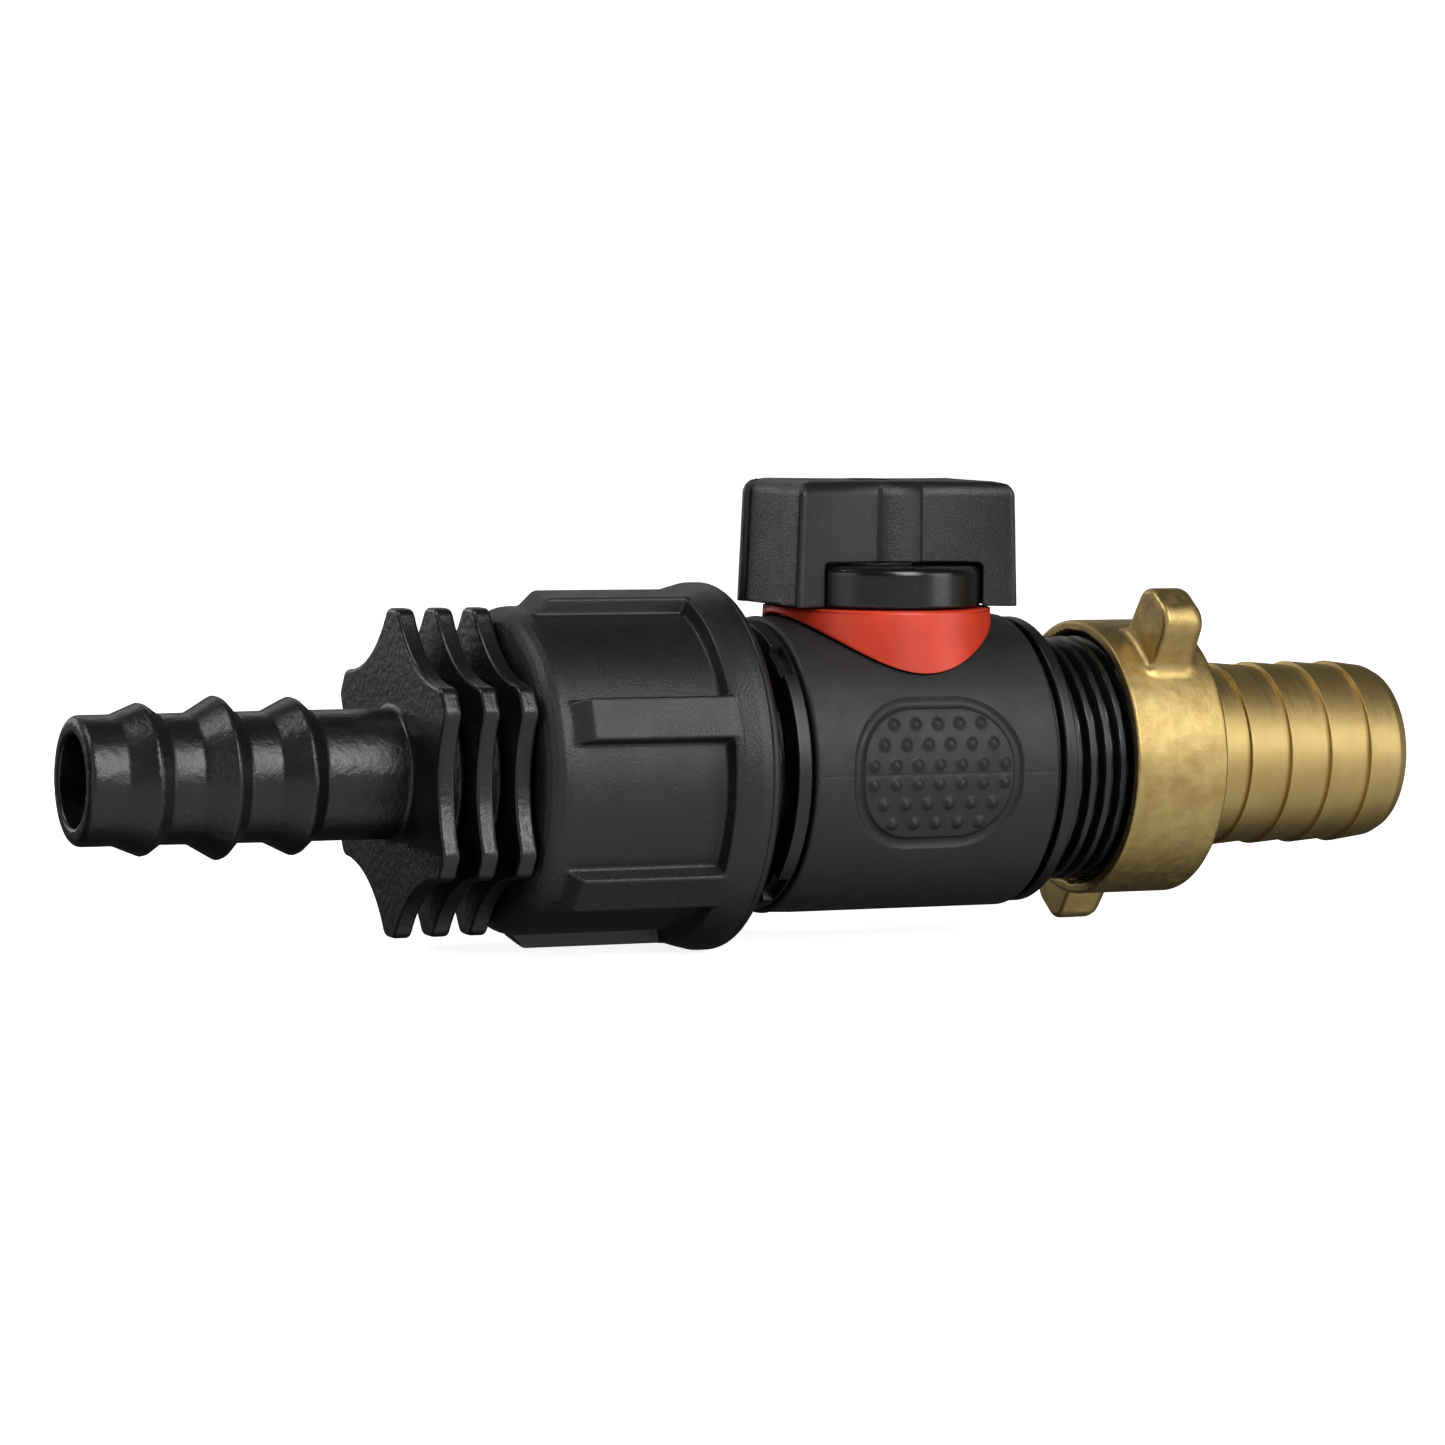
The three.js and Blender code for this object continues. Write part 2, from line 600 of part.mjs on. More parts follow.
// ---------- handle ----------
function squareHole(z0, z1) {
  const h = SQUARE / 2 + GAP;
  return block(-h, h, -h, h, z0, z1);
}

function handleDisc() {
  const roof = DISC_TOP - DISC_WEB;
  const inner = NECK_R + 1.3 + GAP;
  const cup = turnZ([
    [DISC_Z, inner], [DISC_Z, DISC_R], [DISC_TOP - 0.8, DISC_R], [DISC_TOP - 0.25, DISC_R - 0.22],
    [DISC_TOP, DISC_R - 0.8], [DISC_TOP, 0], [roof, 0], [roof, inner],
  ], 48);
  const free = LUG_HALF_DEG + STOP_PLAY_DEG;
  const from = 90 + free + QUARTER_TURN_DEG;
  const to = 90 + 360 - free;
  const stop = sweepZ(sector(NECK_R + GAP, inner + 0.5, from, to), DISC_Z + 0.2, roof + 0.3);
  return cut(join(cup, stop), squareHole(roof - 1, DISC_TOP + 1));
}

// plan outline of the knob at its foot
function knobOutline() {
  const points = [];
  const r = 0.8;
  const quarter = [];
  const hubHalf = 2.35;
  const hubEdge = Math.sqrt(KNOB_HUB_R * KNOB_HUB_R - hubHalf * hubHalf);
  for (let i = 0; i <= 2; i += 1) {
    const x = hubHalf * i / 2;
    quarter.push([x, Math.sqrt(KNOB_HUB_R * KNOB_HUB_R - x * x)]);
  }
  const crease = hubEdge - 0.35;
  const cornerX = KNOB_HALF_X - r;
  for (let i = 0; i <= 4; i += 1) {
    const t = i / 4;
    const x = hubHalf + 0.25 + (cornerX - hubHalf - 0.25) * t;
    quarter.push([x, crease + (KNOB_HALF_Y - crease) * Math.pow(t, 1.6)]);
  }
  for (let i = 1; i <= 3; i += 1) {
    const a = (90 - 30 * i) * RAD;
    quarter.push([cornerX + r * Math.cos(a), KNOB_HALF_Y - r + r * Math.sin(a)]);
  }
  quarter.push([KNOB_HALF_X - 0.1, KNOB_HALF_Y - r - 0.5]);
  quarter.push([KNOB_WAIST_X + 0.28, KNOB_HALF_Y - r - 1.3]);
  quarter.push([KNOB_WAIST_X + 0.05, (KNOB_HALF_Y - r) / 2]);
  quarter.push([KNOB_WAIST_X, 0]);
  const flip = quarter.slice().reverse();
  points.push(...quarter.map(([x, y]) => [x, -y]));
  points.push(...flip.slice(1).map(([x, y]) => [x, y]));
  points.push(...quarter.slice(1).map(([x, y]) => [-x, y]));
  points.push(...flip.slice(1, -1).map(([x, y]) => [-x, -y]));
  return points;
}

// stack of scaled outlines joined into one closed skin
function loft(outline, levels) {
  const n = outline.length;
  const positions = [];
  const index = [];
  levels.forEach(([z, scale, inset]) => {
    outline.forEach(([x, y]) => {
      const length = Math.hypot(x, y);
      const k = scale - inset / length;
      positions.push(x * k, y * k, z);
    });
  });
  for (let l = 0; l + 1 < levels.length; l += 1) {
    for (let i = 0; i < n; i += 1) {
      const j = (i + 1) % n;
      index.push(l * n + i, l * n + j, (l + 1) * n + i);
      index.push(l * n + j, (l + 1) * n + j, (l + 1) * n + i);
    }
  }
  const top = levels.length - 1;
  positions.push(0, 0, levels[0][0], 0, 0, levels[top][0]);
  const c0 = levels.length * n;
  for (let i = 0; i < n; i += 1) {
    const j = (i + 1) % n;
    index.push(c0, j, i, c0 + 1, top * n + i, top * n + j);
  }
  const body = new THREE.BufferGeometry();
  body.setAttribute('position', new THREE.Float32BufferAttribute(positions, 3));
  body.setIndex(index);
  return solid(body);
}

function handleKnob() {
  const levels = [[KNOB_Z, 1, 0.15], [KNOB_Z + 0.2, 1, 0]];
  const shrink = (z) => 1 - KNOB_DRAFT * (z - KNOB_Z) / (KNOB_TOP - KNOB_Z);
  const start = KNOB_TOP - KNOB_EDGE;
  for (let i = 0; i <= 4; i += 1) {
    const a = 90 * i / 4 * RAD;
    const z = start + KNOB_EDGE * Math.sin(a);
    levels.push([z, shrink(z), KNOB_EDGE * (1 - Math.cos(a))]);
  }
  const skin = loft(knobOutline(), levels);
  return cut(
    skin,
    rodZ(KNOB_Z - 1, DISC_TOP + GAP, DISC_R + GAP, 48),
    squareHole(DISC_TOP, SQUARE_TOP + GAP),
    rodZ(SQUARE_TOP, KNOB_TOP + 1, SCREW_SHANK_R + 2 * GAP, 20),
    rodZ(RECESS_FLOOR, KNOB_TOP + 1, SCREW_RECESS_R, SEG_SMALL),
  );
}

function handleScrew() {
  const seatZ = RECESS_FLOOR + GAP;
  const top = seatZ + 1.7;
  const body = turnZ([
    [NECK_TOP + 1.4, 0], [NECK_TOP + 1.8, SCREW_SHANK_R], [seatZ, SCREW_SHANK_R],
    [seatZ, SCREW_HEAD_R], [seatZ + 0.9, SCREW_HEAD_R], [seatZ + 1.45, SCREW_HEAD_R - 0.7],
    [top, 0],
  ], 24);
  const slotA = block(-1.5, 1.5, -0.3, 0.3, top - 0.9, top + 1);
  const slotB = block(-0.3, 0.3, -1.5, 1.5, top - 0.9, top + 1);
  return cut(body, slotA, slotB);
}

// ---------- outlet side ----------
function outletWasher() {
  return tubeX(OUTLET_FACE + GAP, OUTLET_FACE + GAP + OUT_WASHER_T, OUT_BORE_R,
    OUT_FLANGE_R - 0.2, 36);
}

function outletHoseTail() {
  const face = OUTLET_FACE + 2 * GAP + OUT_WASHER_T;
  const r = OUT_TUBE_R;
  const profile = [
    [face, OUT_BORE_R], [face, OUT_FLANGE_R], [face + OUT_FLANGE_T, OUT_FLANGE_R],
    [face + OUT_FLANGE_T, r + 0.1],
  ];
  for (let i = 0; i < OUT_BARBS; i += 1) {
    const x = OUT_BARB_X + i * OUT_BARB_PITCH;
    profile.push([x - 0.15, r - 0.1], [x, r + OUT_BARB_RISE]);
  }
  profile.push([OUT_END - 0.9, r - 0.35], [OUT_END - 0.25, r - 0.6], [OUT_END, r - 1.0]);
  profile.push([OUT_END, OUT_BORE_R]);
  return turnX(profile, SEG);
}

function earOutline() {
  const base = WING_R - 1.2;
  const h = EAR_HALF;
  const half = [
    [base, h + 1.5], [WING_R - 0.1, h + 0.9], [WING_R + 0.5, h + 0.25], [WING_R + 1.4, h - 0.1],
    [WING_R + 3.2, h + 0.05], [EAR_TOP_R - 2.6, h], [EAR_TOP_R - 1.4, h - 0.4],
    [EAR_TOP_R - 0.5, h - 1.2], [EAR_TOP_R - 0.1, h - 2.3],
  ];
  const other = half.slice().reverse().map(([u, v]) => [u, -v]);
  return [...half, ...other].map(([u, v]) => [v, u]);
}

function wingNut() {
  const back = WING_X + WING_LEN;
  const bore = THREAD_R + 0.34;
  const hole = OUT_TUBE_R + OUT_BARB_RISE + 0.25;
  const body = turnX([
    [WING_X, bore + 0.4], [WING_X, WING_R - 0.15], [WING_X + 0.15, WING_R],
    [back - 0.5, WING_R], [back, WING_R - 0.5], [back, hole],
    [back - WING_WALL, hole], [back - WING_WALL, bore], [WING_X + 0.5, bore],
  ], 48);
  const r = 1.8;
  const x1 = EAR_X + EAR_LEN;
  const side = [
    [EAR_X, 0], [x1 + 0.3, 0], [x1 + 0.3, WING_R], [x1 - 0.05, WING_R + 1.0],
    ...arc(x1 - r, EAR_TOP_R - r, r, 0, 90, 4),
    [EAR_X + 0.4, EAR_TOP_R], [EAR_X, EAR_TOP_R - 0.4],
  ];
  const blank = sweepX(earOutline(), EAR_X - 1, x1 + 1);
  const ear = blank.intersect(sweepY(side, -10, 10));
  const ears = [0, 180].map((add) => turned(ear, 90 - EAR_DEG + add));
  return join(body, ...ears);
}

// ---------- assembly ----------
function finish(color, roughness, metalness) {
  return () => new THREE.MeshStandardMaterial({ color, roughness, metalness });
}

const satinBlack = finish(0x2b2b2c, 0.5, 0);
const glossBlack = finish(0x1d1d1f, 0.25, 0);
const softGrey = finish(0x3a3a3b, 0.7, 0);
const red = finish(0xd8402a, 0.45, 0);
const brass = finish(0xc9b06a, 0.35, 1);
const rubber = finish(0x161616, 0.8, 0);
const ptfe = finish(0xeeeeea, 0.5, 0);
const steel = finish(0xb8bcc0, 0.3, 1);
const acetal = finish(0xe2e0d8, 0.35, 0);

const pieces = [
  ['inlet_hose_tail', inletHoseTail(), satinBlack],
  ['inlet_washer', inletWasher(), rubber],
  ['union_nut', unionNut(), satinBlack],
  ['end_connector', endConnector(), satinBlack],
  ['connector_oring', connectorOring(), rubber],
  ['seat_inlet', seat(-1), ptfe],
  ['seat_outlet', seat(1), ptfe],
  ['ball', ball(), acetal],
  ['valve_body', valveBody(), satinBlack],
  ['grip_sleeve', gripSleeve(), softGrey],
  ['indicator_collar', indicatorCollar(), red],
  ['stem', stem(), acetal],
  ['stem_washer', stemWasher(), ptfe],
  ['stem_oring_lower', stemOring(STEM_ORING_Z[0]), rubber],
  ['stem_oring_upper', stemOring(STEM_ORING_Z[1]), rubber],
  ['handle_disc', handleDisc(), glossBlack],
  ['handle_knob', handleKnob(), satinBlack],
  ['handle_screw', handleScrew(), steel],
  ['outlet_washer', outletWasher(), rubber],
  ['outlet_hose_tail', outletHoseTail(), brass],
  ['wing_nut', wingNut(), brass],
];

const valve = new THREE.Group();
valve.name = 'hose_line_valve';
pieces.forEach(([name, body, material]) => {
  const made = body.getMesh();
  const geometry = new THREE.BufferGeometry();
  const positions = new Float32Array(made.vertProperties);
  geometry.setAttribute('position', new THREE.BufferAttribute(positions, 3));
  geometry.setIndex(new THREE.BufferAttribute(new Uint32Array(made.triVerts), 1));
  geometry.computeVertexNormals();
  const mesh = new THREE.Mesh(geometry, material());
  mesh.name = name;
  valve.add(mesh);
});

export default valve;
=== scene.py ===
"""Looks of an in-line quarter-turn hose valve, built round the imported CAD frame.

Shapes are worked out in millimetres in the row frame: +X along the flow towards the brass tail,
+Z up the stem, the origin where the two axes cross. They become metres when a mesh is made.
"""

import math

import bpy
import numpy as np
from mathutils import Matrix, Vector


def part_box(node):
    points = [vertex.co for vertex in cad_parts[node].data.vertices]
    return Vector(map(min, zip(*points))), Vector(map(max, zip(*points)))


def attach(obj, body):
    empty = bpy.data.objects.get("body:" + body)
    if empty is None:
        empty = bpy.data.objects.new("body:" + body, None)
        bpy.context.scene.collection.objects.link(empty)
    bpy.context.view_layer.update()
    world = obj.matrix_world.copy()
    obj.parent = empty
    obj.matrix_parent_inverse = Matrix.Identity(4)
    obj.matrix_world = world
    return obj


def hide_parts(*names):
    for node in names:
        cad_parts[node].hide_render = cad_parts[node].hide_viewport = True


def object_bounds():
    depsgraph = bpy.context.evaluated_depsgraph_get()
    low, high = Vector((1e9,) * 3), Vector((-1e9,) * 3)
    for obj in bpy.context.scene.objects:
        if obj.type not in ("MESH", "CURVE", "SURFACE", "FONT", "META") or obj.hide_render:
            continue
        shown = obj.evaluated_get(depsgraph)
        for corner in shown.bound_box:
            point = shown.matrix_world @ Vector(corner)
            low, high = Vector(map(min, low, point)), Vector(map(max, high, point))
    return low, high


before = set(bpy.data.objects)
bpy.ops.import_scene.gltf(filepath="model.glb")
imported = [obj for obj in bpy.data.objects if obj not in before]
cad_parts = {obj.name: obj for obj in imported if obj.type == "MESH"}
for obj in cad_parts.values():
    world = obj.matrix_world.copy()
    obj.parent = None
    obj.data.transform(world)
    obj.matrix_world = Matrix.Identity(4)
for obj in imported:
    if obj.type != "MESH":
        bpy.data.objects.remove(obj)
cad_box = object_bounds()

MM = 0.001
TURN = 2 * math.pi
STEP = 0.25    # cell size of the pieces meshed from a distance field
SAME = 1e-6                      # two sizes closer than this are one
ON_AXIS = 0.01                   # radius of a cutting tool's end on its own axis
THREAD_ROW = 0.09                # spacing of the rows that carry a thread
SOFT_EDGE_DEG = 40               # edges sharper than this keep their crease


def span(node):
    """Lowest and highest corner of a CAD node in millimetres."""
    low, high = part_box(node)
    return np.array(low) / MM, np.array(high) / MM


# ---------------------------------------------------------------- sizes, radii unless they say otherwise
THREAD_CREST = 13.16
THREAD_ROOT = 12.0
THREAD_PITCH = 1.814     # a turn, G 3/4
PORT = 7.5
BALL = 10.5
BALL_PORT = 7.0
CAVITY = 10.9
NECK = 8.0
NECK_TOP = 18.9          # height
BARREL = 14.15
SLEEVE = 15.7
STEM = 4.1
STEM_GROOVE = 3.0
STEM_SHOULDER = 5.2
SQUARE_HALF = 2.8        # half width of the stem's square
SOCKET_HALF = 3.1        # half width of the square holes on it
CONNECTOR_GROOVE_X = -12.2
SEAL = 12.2              # outer radius of the two flat washers


# ---------------------------------------------------------------- meshes
def new_piece(name, body, slot, looks, vertices, faces, normals=None, sharp_deg=None):
    """A closed mesh that stands for the CAD node of the same name."""
    mesh = bpy.data.meshes.new(name + "_skin")
    mesh.from_pydata(np.asarray(vertices) * MM, [], faces)
    mesh.shade_smooth()
    if sharp_deg is not None:
        mesh.set_sharp_from_angle(angle=math.radians(sharp_deg))
    if normals is not None:
        mesh.normals_split_custom_set_from_vertices(normals)
    mesh.materials.append(looks)
    piece = bpy.data.objects.new(name + "_skin", mesh)
    bpy.context.scene.collection.objects.link(piece)
    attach(piece, body)
    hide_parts(name)
    return piece


def rounded(corners, steps=6):
    """Closed outline from (along, across, radius) corners, with an arc at each corner."""
    points = []
    count = len(corners)
    for i, (along, across, radius) in enumerate(corners):
        here = np.array((along, across), float)
        if radius == 0:
            points.append(tuple(here))
            continue
        before = np.array(corners[i - 1][:2]) - here
        after = np.array(corners[(i + 1) % count][:2]) - here
        before /= np.linalg.norm(before)
        after /= np.linalg.norm(after)
        half = math.acos(np.clip(before @ after, -1, 1)) / 2
        middle = (before + after) / np.linalg.norm(before + after)
        centre = here + middle * radius / math.sin(half)
        first = here + before * radius / math.tan(half) - centre
        last = here + after * radius / math.tan(half) - centre
        start = math.atan2(first[1], first[0])
        sweep = math.atan2(last[1], last[0]) - start
        sweep = (sweep + math.pi) % TURN - math.pi
        for k in range(steps + 1):
            a = start + sweep * k / steps
            points.append((centre[0] + radius * math.cos(a), centre[1] + radius * math.sin(a)))
    return points


def supported(profile, margin=0.12, longest=None):
    """The profile with extra points beside each corner, and along any stretch over longest."""
    points = []
    for (a, r), (b, s) in zip(profile, profile[1:] + profile[:1]):
        length = math.hypot(b - a, s - r)
        shares = [0.0]
        if length > 4 * margin:
            shares += [margin / length]
            if longest and length > longest:
                inner = int(length / longest)
                shares += [k / inner for k in range(1, inner)]
            shares += [1 - margin / length]
        points += [(a + (b - a) * t, r + (s - r) * t) for t in shares]
    return points


def lathe(profile, columns=192, shape=None, axis="X"):
    """Vertices and quads of a closed profile of (along, radius) points turned about an axis.

    About X an angle runs from the front, -Y, up towards +Z; about Z it runs from +X to +Y.
    shape takes the arrays (along, radius, angle) and returns a new (along, radius).
    """
    along, radius = np.array(profile).T
    angles = np.arange(columns) * TURN / columns if isinstance(columns, int) else columns
    a = np.repeat(along[:, None], len(angles), 1)
    r = np.repeat(radius[:, None], len(angles), 1)
    t = np.repeat(np.asarray(angles)[None, :], len(along), 0)
    if shape:
        a, r = shape(a, r, t)
    if axis == "X":
        points = np.stack([a, -r * np.cos(t), r * np.sin(t)], -1).reshape(-1, 3)
    else:
        points = np.stack([r * np.cos(t), r * np.sin(t), a], -1).reshape(-1, 3)
    rows, cols = len(along), len(angles)
    i, j = (grid.ravel() for grid in np.indices((rows, cols)))
    down, right = (i + 1) % rows, (j + 1) % cols
    quads = np.stack([i * cols + j, i * cols + right, down * cols + right, down * cols + j], -1)
    p0, p1, p2, p3 = (points[quads[:, k]] for k in range(4))
    volume = np.einsum("ij,ij->", p0 + p2, np.cross(p2 - p0, p3 - p1))
    return points, quads if volume > 0 else quads[:, ::-1]


# ---------------------------------------------------------------- distance fields, negative inside
def rmax(a, b, radius):
    """What is in both, with the shared edge rounded off."""
    u, v = np.maximum(a + radius, 0), np.maximum(b + radius, 0)
    return np.minimum(np.maximum(a, b), -radius) + np.hypot(u, v)


def rmin(a, b, radius):
    """What is in either, with a fillet where they meet."""
    return -rmax(-a, -b, radius)


def less(a, b, radius):
    """a without b, with the mouth of the cut rounded."""
    return rmax(a, -b, radius)


def outline_distance(px, py, points):
    """Distance to a closed outline."""
    best = np.full(px.shape, np.inf)
    inside = np.zeros(px.shape, bool)
    for (ax, ay), (bx, by) in zip(points, points[1:] + points[:1]):
        ex, ey = bx - ax, by - ay
        wx, wy = px - ax, py - ay
        t = np.clip((wx * ex + wy * ey) / (ex * ex + ey * ey), 0, 1)
        best = np.minimum(best, (wx - t * ex) ** 2 + (wy - t * ey) ** 2)
        if ay != by:
            inside ^= ((ay > py) != (by > py)) & (px < ex * (py - ay) / ey + ax)
    return np.where(inside, -1, 1) * np.sqrt(best)


def slab(u, low, high):
    """Distance to what lies between low and high along u."""
    return np.maximum(low - u, u - high)


def folded(angle, count):
    """The angle measured from the nearest of count even steps round a turn."""
    return (angle + TURN / (2 * count)) % (TURN / count) - TURN / (2 * count)


def nut_groove(x, angle, start, depth):
    """How deep a nut's thread cuts into its bore."""
    phase = ((x - start) / THREAD_PITCH + angle / TURN) % 1 - 0.5
    return depth * np.clip(1.3 - np.abs(phase) * 4, 0, 1)


BLOCK = 8                # cells a side of a coarse block
CHUNK = 400000           # points worked out at once
CORNERS = [(i, j, k) for i in (0, 1) for j in (0, 1) for k in (0, 1)]


def skin(field, low, high, step=STEP):
    """Quads on the zero level of a distance field, with the field's own slope as normals."""
    low = np.array(low, float) - 2 * step
    size = np.ceil((np.array(high, float) + 2 * step - low) / step).astype(int)
    blocks = -(-size // BLOCK)
    centres = (np.indices(blocks).reshape(3, -1).T + 0.5) * BLOCK * step + low
    coarse = field(*centres.T).reshape(blocks)
    near = np.abs(coarse) < BLOCK * step * 1.05
    grow = lambda grid: grid.repeat(BLOCK, 0).repeat(BLOCK, 1).repeat(BLOCK, 2)
    cells = grow(near)
    shape = tuple(s + 1 for s in cells.shape)
    wanted = np.zeros(shape, bool)
    for i, j, k in CORNERS:
        wanted[i:i + cells.shape[0], j:j + cells.shape[1], k:k + cells.shape[2]] |= cells
    values = np.pad(grow(np.where(coarse > 0, 1.0, -1.0)), ((0, 1),) * 3, mode="edge")
    at = np.argwhere(wanted)
    chunks = np.array_split(at, max(1, len(at) // CHUNK))
    parts = [field(*(chunk * step + low).T) for chunk in chunks]
    values[wanted] = np.concatenate(parts)
    inside = values < 0
    total = np.zeros(cells.shape, np.int8)
    for i, j, k in CORNERS:
        total += inside[i:i + cells.shape[0], j:j + cells.shape[1], k:k + cells.shape[2]]
    active = (total > 0) & (total < 8) & cells
    index = np.full(cells.shape, -1)
    where = np.argwhere(active)
    index[active] = np.arange(len(where))
    sums = np.zeros((len(where), 3))
    count = np.zeros(len(where))
    for c in CORNERS:
        for axis in range(3):
            if c[axis]:
                continue
            p = where + c
            q = p.copy()
            q[:, axis] += 1
            a, b = values[tuple(p.T)], values[tuple(q.T)]
            cross = (a < 0) != (b < 0)
            share = np.where(cross, a / np.where(cross, a - b, 1), 0)
            spot = p + share[:, None] * np.eye(3)[axis]
            sums += spot * cross[:, None]
            count += cross
    points = sums / count[:, None] * step + low
    for _ in range(3):
        value, slope = field_slope(field, points, step)
        move = slope * (value / np.maximum((slope ** 2).sum(1), 0.25))[:, None]
        length = np.linalg.norm(move, axis=1, keepdims=True)
        points -= move * np.minimum(1, 0.4 * step / np.maximum(length, 1e-9))
    slope = field_slope(field, points, step)[1]
    normals = slope / np.maximum(np.linalg.norm(slope, axis=1, keepdims=True), 1e-9)
    quads = []
    for axis in range(3):
        u, v = (axis + 1) % 3, (axis + 2) % 3
        ahead = np.roll(inside, -1, axis)
        edges = np.argwhere((inside != ahead)[tuple(slice(1, s - 1) for s in shape)]) + 1
        flip = inside[tuple(edges.T)]
        ring = []
        for du, dv in ((1, 1), (0, 1), (0, 0), (1, 0)):
            cell = edges.copy()
            cell[:, u] -= du
            cell[:, v] -= dv
            ring.append(index[tuple(cell.T)])
        ring = np.stack(ring, -1)
        ring[~flip] = ring[~flip][:, ::-1]
        quads.append(ring[(ring >= 0).all(1)])
    return points, np.concatenate(quads), normals


def field_slope(field, points, step):
    """Value and gradient of a field at points."""
    reach = step * 0.12
    x, y, z = points.T
    slope = np.stack([
        field(x + reach, y, z) - field(x - reach, y, z),
        field(x, y + reach, z) - field(x, y - reach, z),
        field(x, y, z + reach) - field(x, y, z - reach),
    ], -1) / (2 * reach)
    return field(x, y, z), slope


# ---------------------------------------------------------------- looks
MAP_INPUTS = ("From Min", "From Max", "To Min", "To Max")


class Looks:
    """A node material whose textures are laid out in the row frame, in millimetres."""

    def __init__(self, name, color, roughness, metallic=0.0, specular=0.5):
        self.material = bpy.data.materials.new(name)
        self.material.use_nodes = True
        self.tree = self.material.node_tree
        self.shader = self.tree.nodes["Principled BSDF"]
        self.shader.inputs["Base Color"].default_value = (*color, 1)
        self.shader.inputs["Roughness"].default_value = roughness
        self.shader.inputs["Metallic"].default_value = metallic
        self.shader.inputs["Specular IOR Level"].default_value = specular
        coords = self.tree.nodes.new("ShaderNodeTexCoord")
        self.place = coords.outputs["Object"]
        self.normal = None

    def node(self, kind, **values):
        made = self.tree.nodes.new("ShaderNode" + kind)
        for key, value in values.items():
            if hasattr(made, key):
                setattr(made, key, value)
            else:
                self.feed(made.inputs[key.replace("_", " ")], value)
        return made

    def feed(self, socket, value):
        if isinstance(value, bpy.types.NodeSocket):
            self.tree.links.new(value, socket)
        else:
            socket.default_value = value

    def stretched(self, x=1.0, y=1.0, z=1.0):
        made = self.node("Mapping", Vector=self.place)
        made.inputs["Scale"].default_value = (x, y, z)
        return made.outputs["Vector"]

    def noise(self, grain_mm, detail=3.0, roughness=0.55, place=None):
        made = self.node("TexNoise", Vector=place or self.place, Scale=1 / (grain_mm * MM),
                         Detail=detail, Roughness=roughness)
        return made.outputs["Fac"]

    def remap(self, value, low, high, to_low, to_high):
        made = self.node("MapRange", Value=value)
        for key, number in zip(MAP_INPUTS, (low, high, to_low, to_high)):
            made.inputs[key].default_value = number
        return made.outputs["Result"]

    def math(self, operation, a, b=0.0):
        made = self.node("Math", operation=operation)
        self.feed(made.inputs[0], a)
        self.feed(made.inputs[1], b)
        return made.outputs[0]

    def mix(self, share, a, b):
        made = self.node("Mix", data_type="RGBA")
        self.feed(made.inputs["Factor"], share)
        for key, color in (("A", a), ("B", b)):
            socket = next(s for s in made.inputs if s.name == key and s.type == "RGBA")
            self.feed(socket, color if isinstance(color, bpy.types.NodeSocket) else (*color, 1))
        return next(s for s in made.outputs if s.type == "RGBA")

    def bump(self, height, depth_mm, strength=1.0):
        made = self.node("Bump", Height=height, Strength=strength, Distance=depth_mm * MM)
        if self.normal is not None:
            self.feed(made.inputs["Normal"], self.normal)
        self.normal = made.outputs["Normal"]
        self.feed(self.shader.inputs["Normal"], self.normal)

    def ring(self, at_mm, half_mm):
        """1 on a thin ring round the flow axis at at_mm, 0 away from it."""
        parts = self.node("SeparateXYZ", Vector=self.place)
        off = self.math("ABSOLUTE", self.math("SUBTRACT", parts.outputs["X"], at_mm * MM))
        return self.remap(off, 0, half_mm * MM, 1, 0)

    def color(self, value):
        self.feed(self.shader.inputs["Base Color"], value)

    def roughness(self, value):
        self.feed(self.shader.inputs["Roughness"], value)


DUST = (0.12, 0.12, 0.12)
BLACK = (0.006, 0.006, 0.0063)


def moulded(name, color, roughness, grain_mm, depth_mm, wave_mm=0.0, wave_depth=0.0, specular=0.5):
    """Moulded plastic: fine grain, a little uneven gloss, slow waves, and specks of dust."""
    looks = Looks(name, color, roughness, specular=specular)
    shade = looks.noise(9, detail=2)
    light = tuple(c * 1.25 for c in color)
    dark = tuple(c * 0.8 for c in color)
    tone = looks.mix(looks.remap(shade, 0.3, 0.7, 0, 1), dark, light)
    dust = looks.remap(looks.noise(0.35, detail=1), 0.74, 0.80, 0, 0.35)
    looks.color(looks.mix(dust, tone, DUST))
    patch = looks.noise(3.0, detail=4)
    looks.roughness(looks.remap(patch, 0.3, 0.7, roughness * 0.88, min(1, roughness * 1.12)))
    if wave_mm:
        looks.bump(looks.noise(wave_mm, detail=2), wave_depth)
    looks.bump(looks.noise(grain_mm, detail=3, roughness=0.65), depth_mm)
    return looks


nylon_gloss = moulded("nylon_gloss", BLACK, 0.35, 0.16, 0.010, wave_mm=0.9, wave_depth=0.07)
nylon_matte = moulded("nylon_matte", (0.008, 0.008, 0.0083), 0.41, 0.22, 0.06)
acetal_black = moulded("acetal_black", BLACK, 0.38, 0.15, 0.010)
soft_grip = moulded("soft_grip", (0.013, 0.013, 0.0134), 0.56, 0.10, 0.014, specular=0.45)
knob_satin = moulded("knob_satin", (0.007, 0.007, 0.0073), 0.40, 0.22, 0.055)
disc_gloss = moulded("disc_gloss", (0.005, 0.005, 0.0053), 0.22, 0.2, 0.003,
                     wave_mm=2.0, wave_depth=0.02)
red_plastic = moulded("red_plastic", (0.56, 0.034, 0.009), 0.40, 0.2, 0.006)
white_plastic = moulded("white_plastic", (0.72, 0.72, 0.70), 0.35, 0.3, 0.004)
seal_rubber = moulded("seal_rubber", (0.012, 0.012, 0.012), 0.6, 0.2, 0.01)


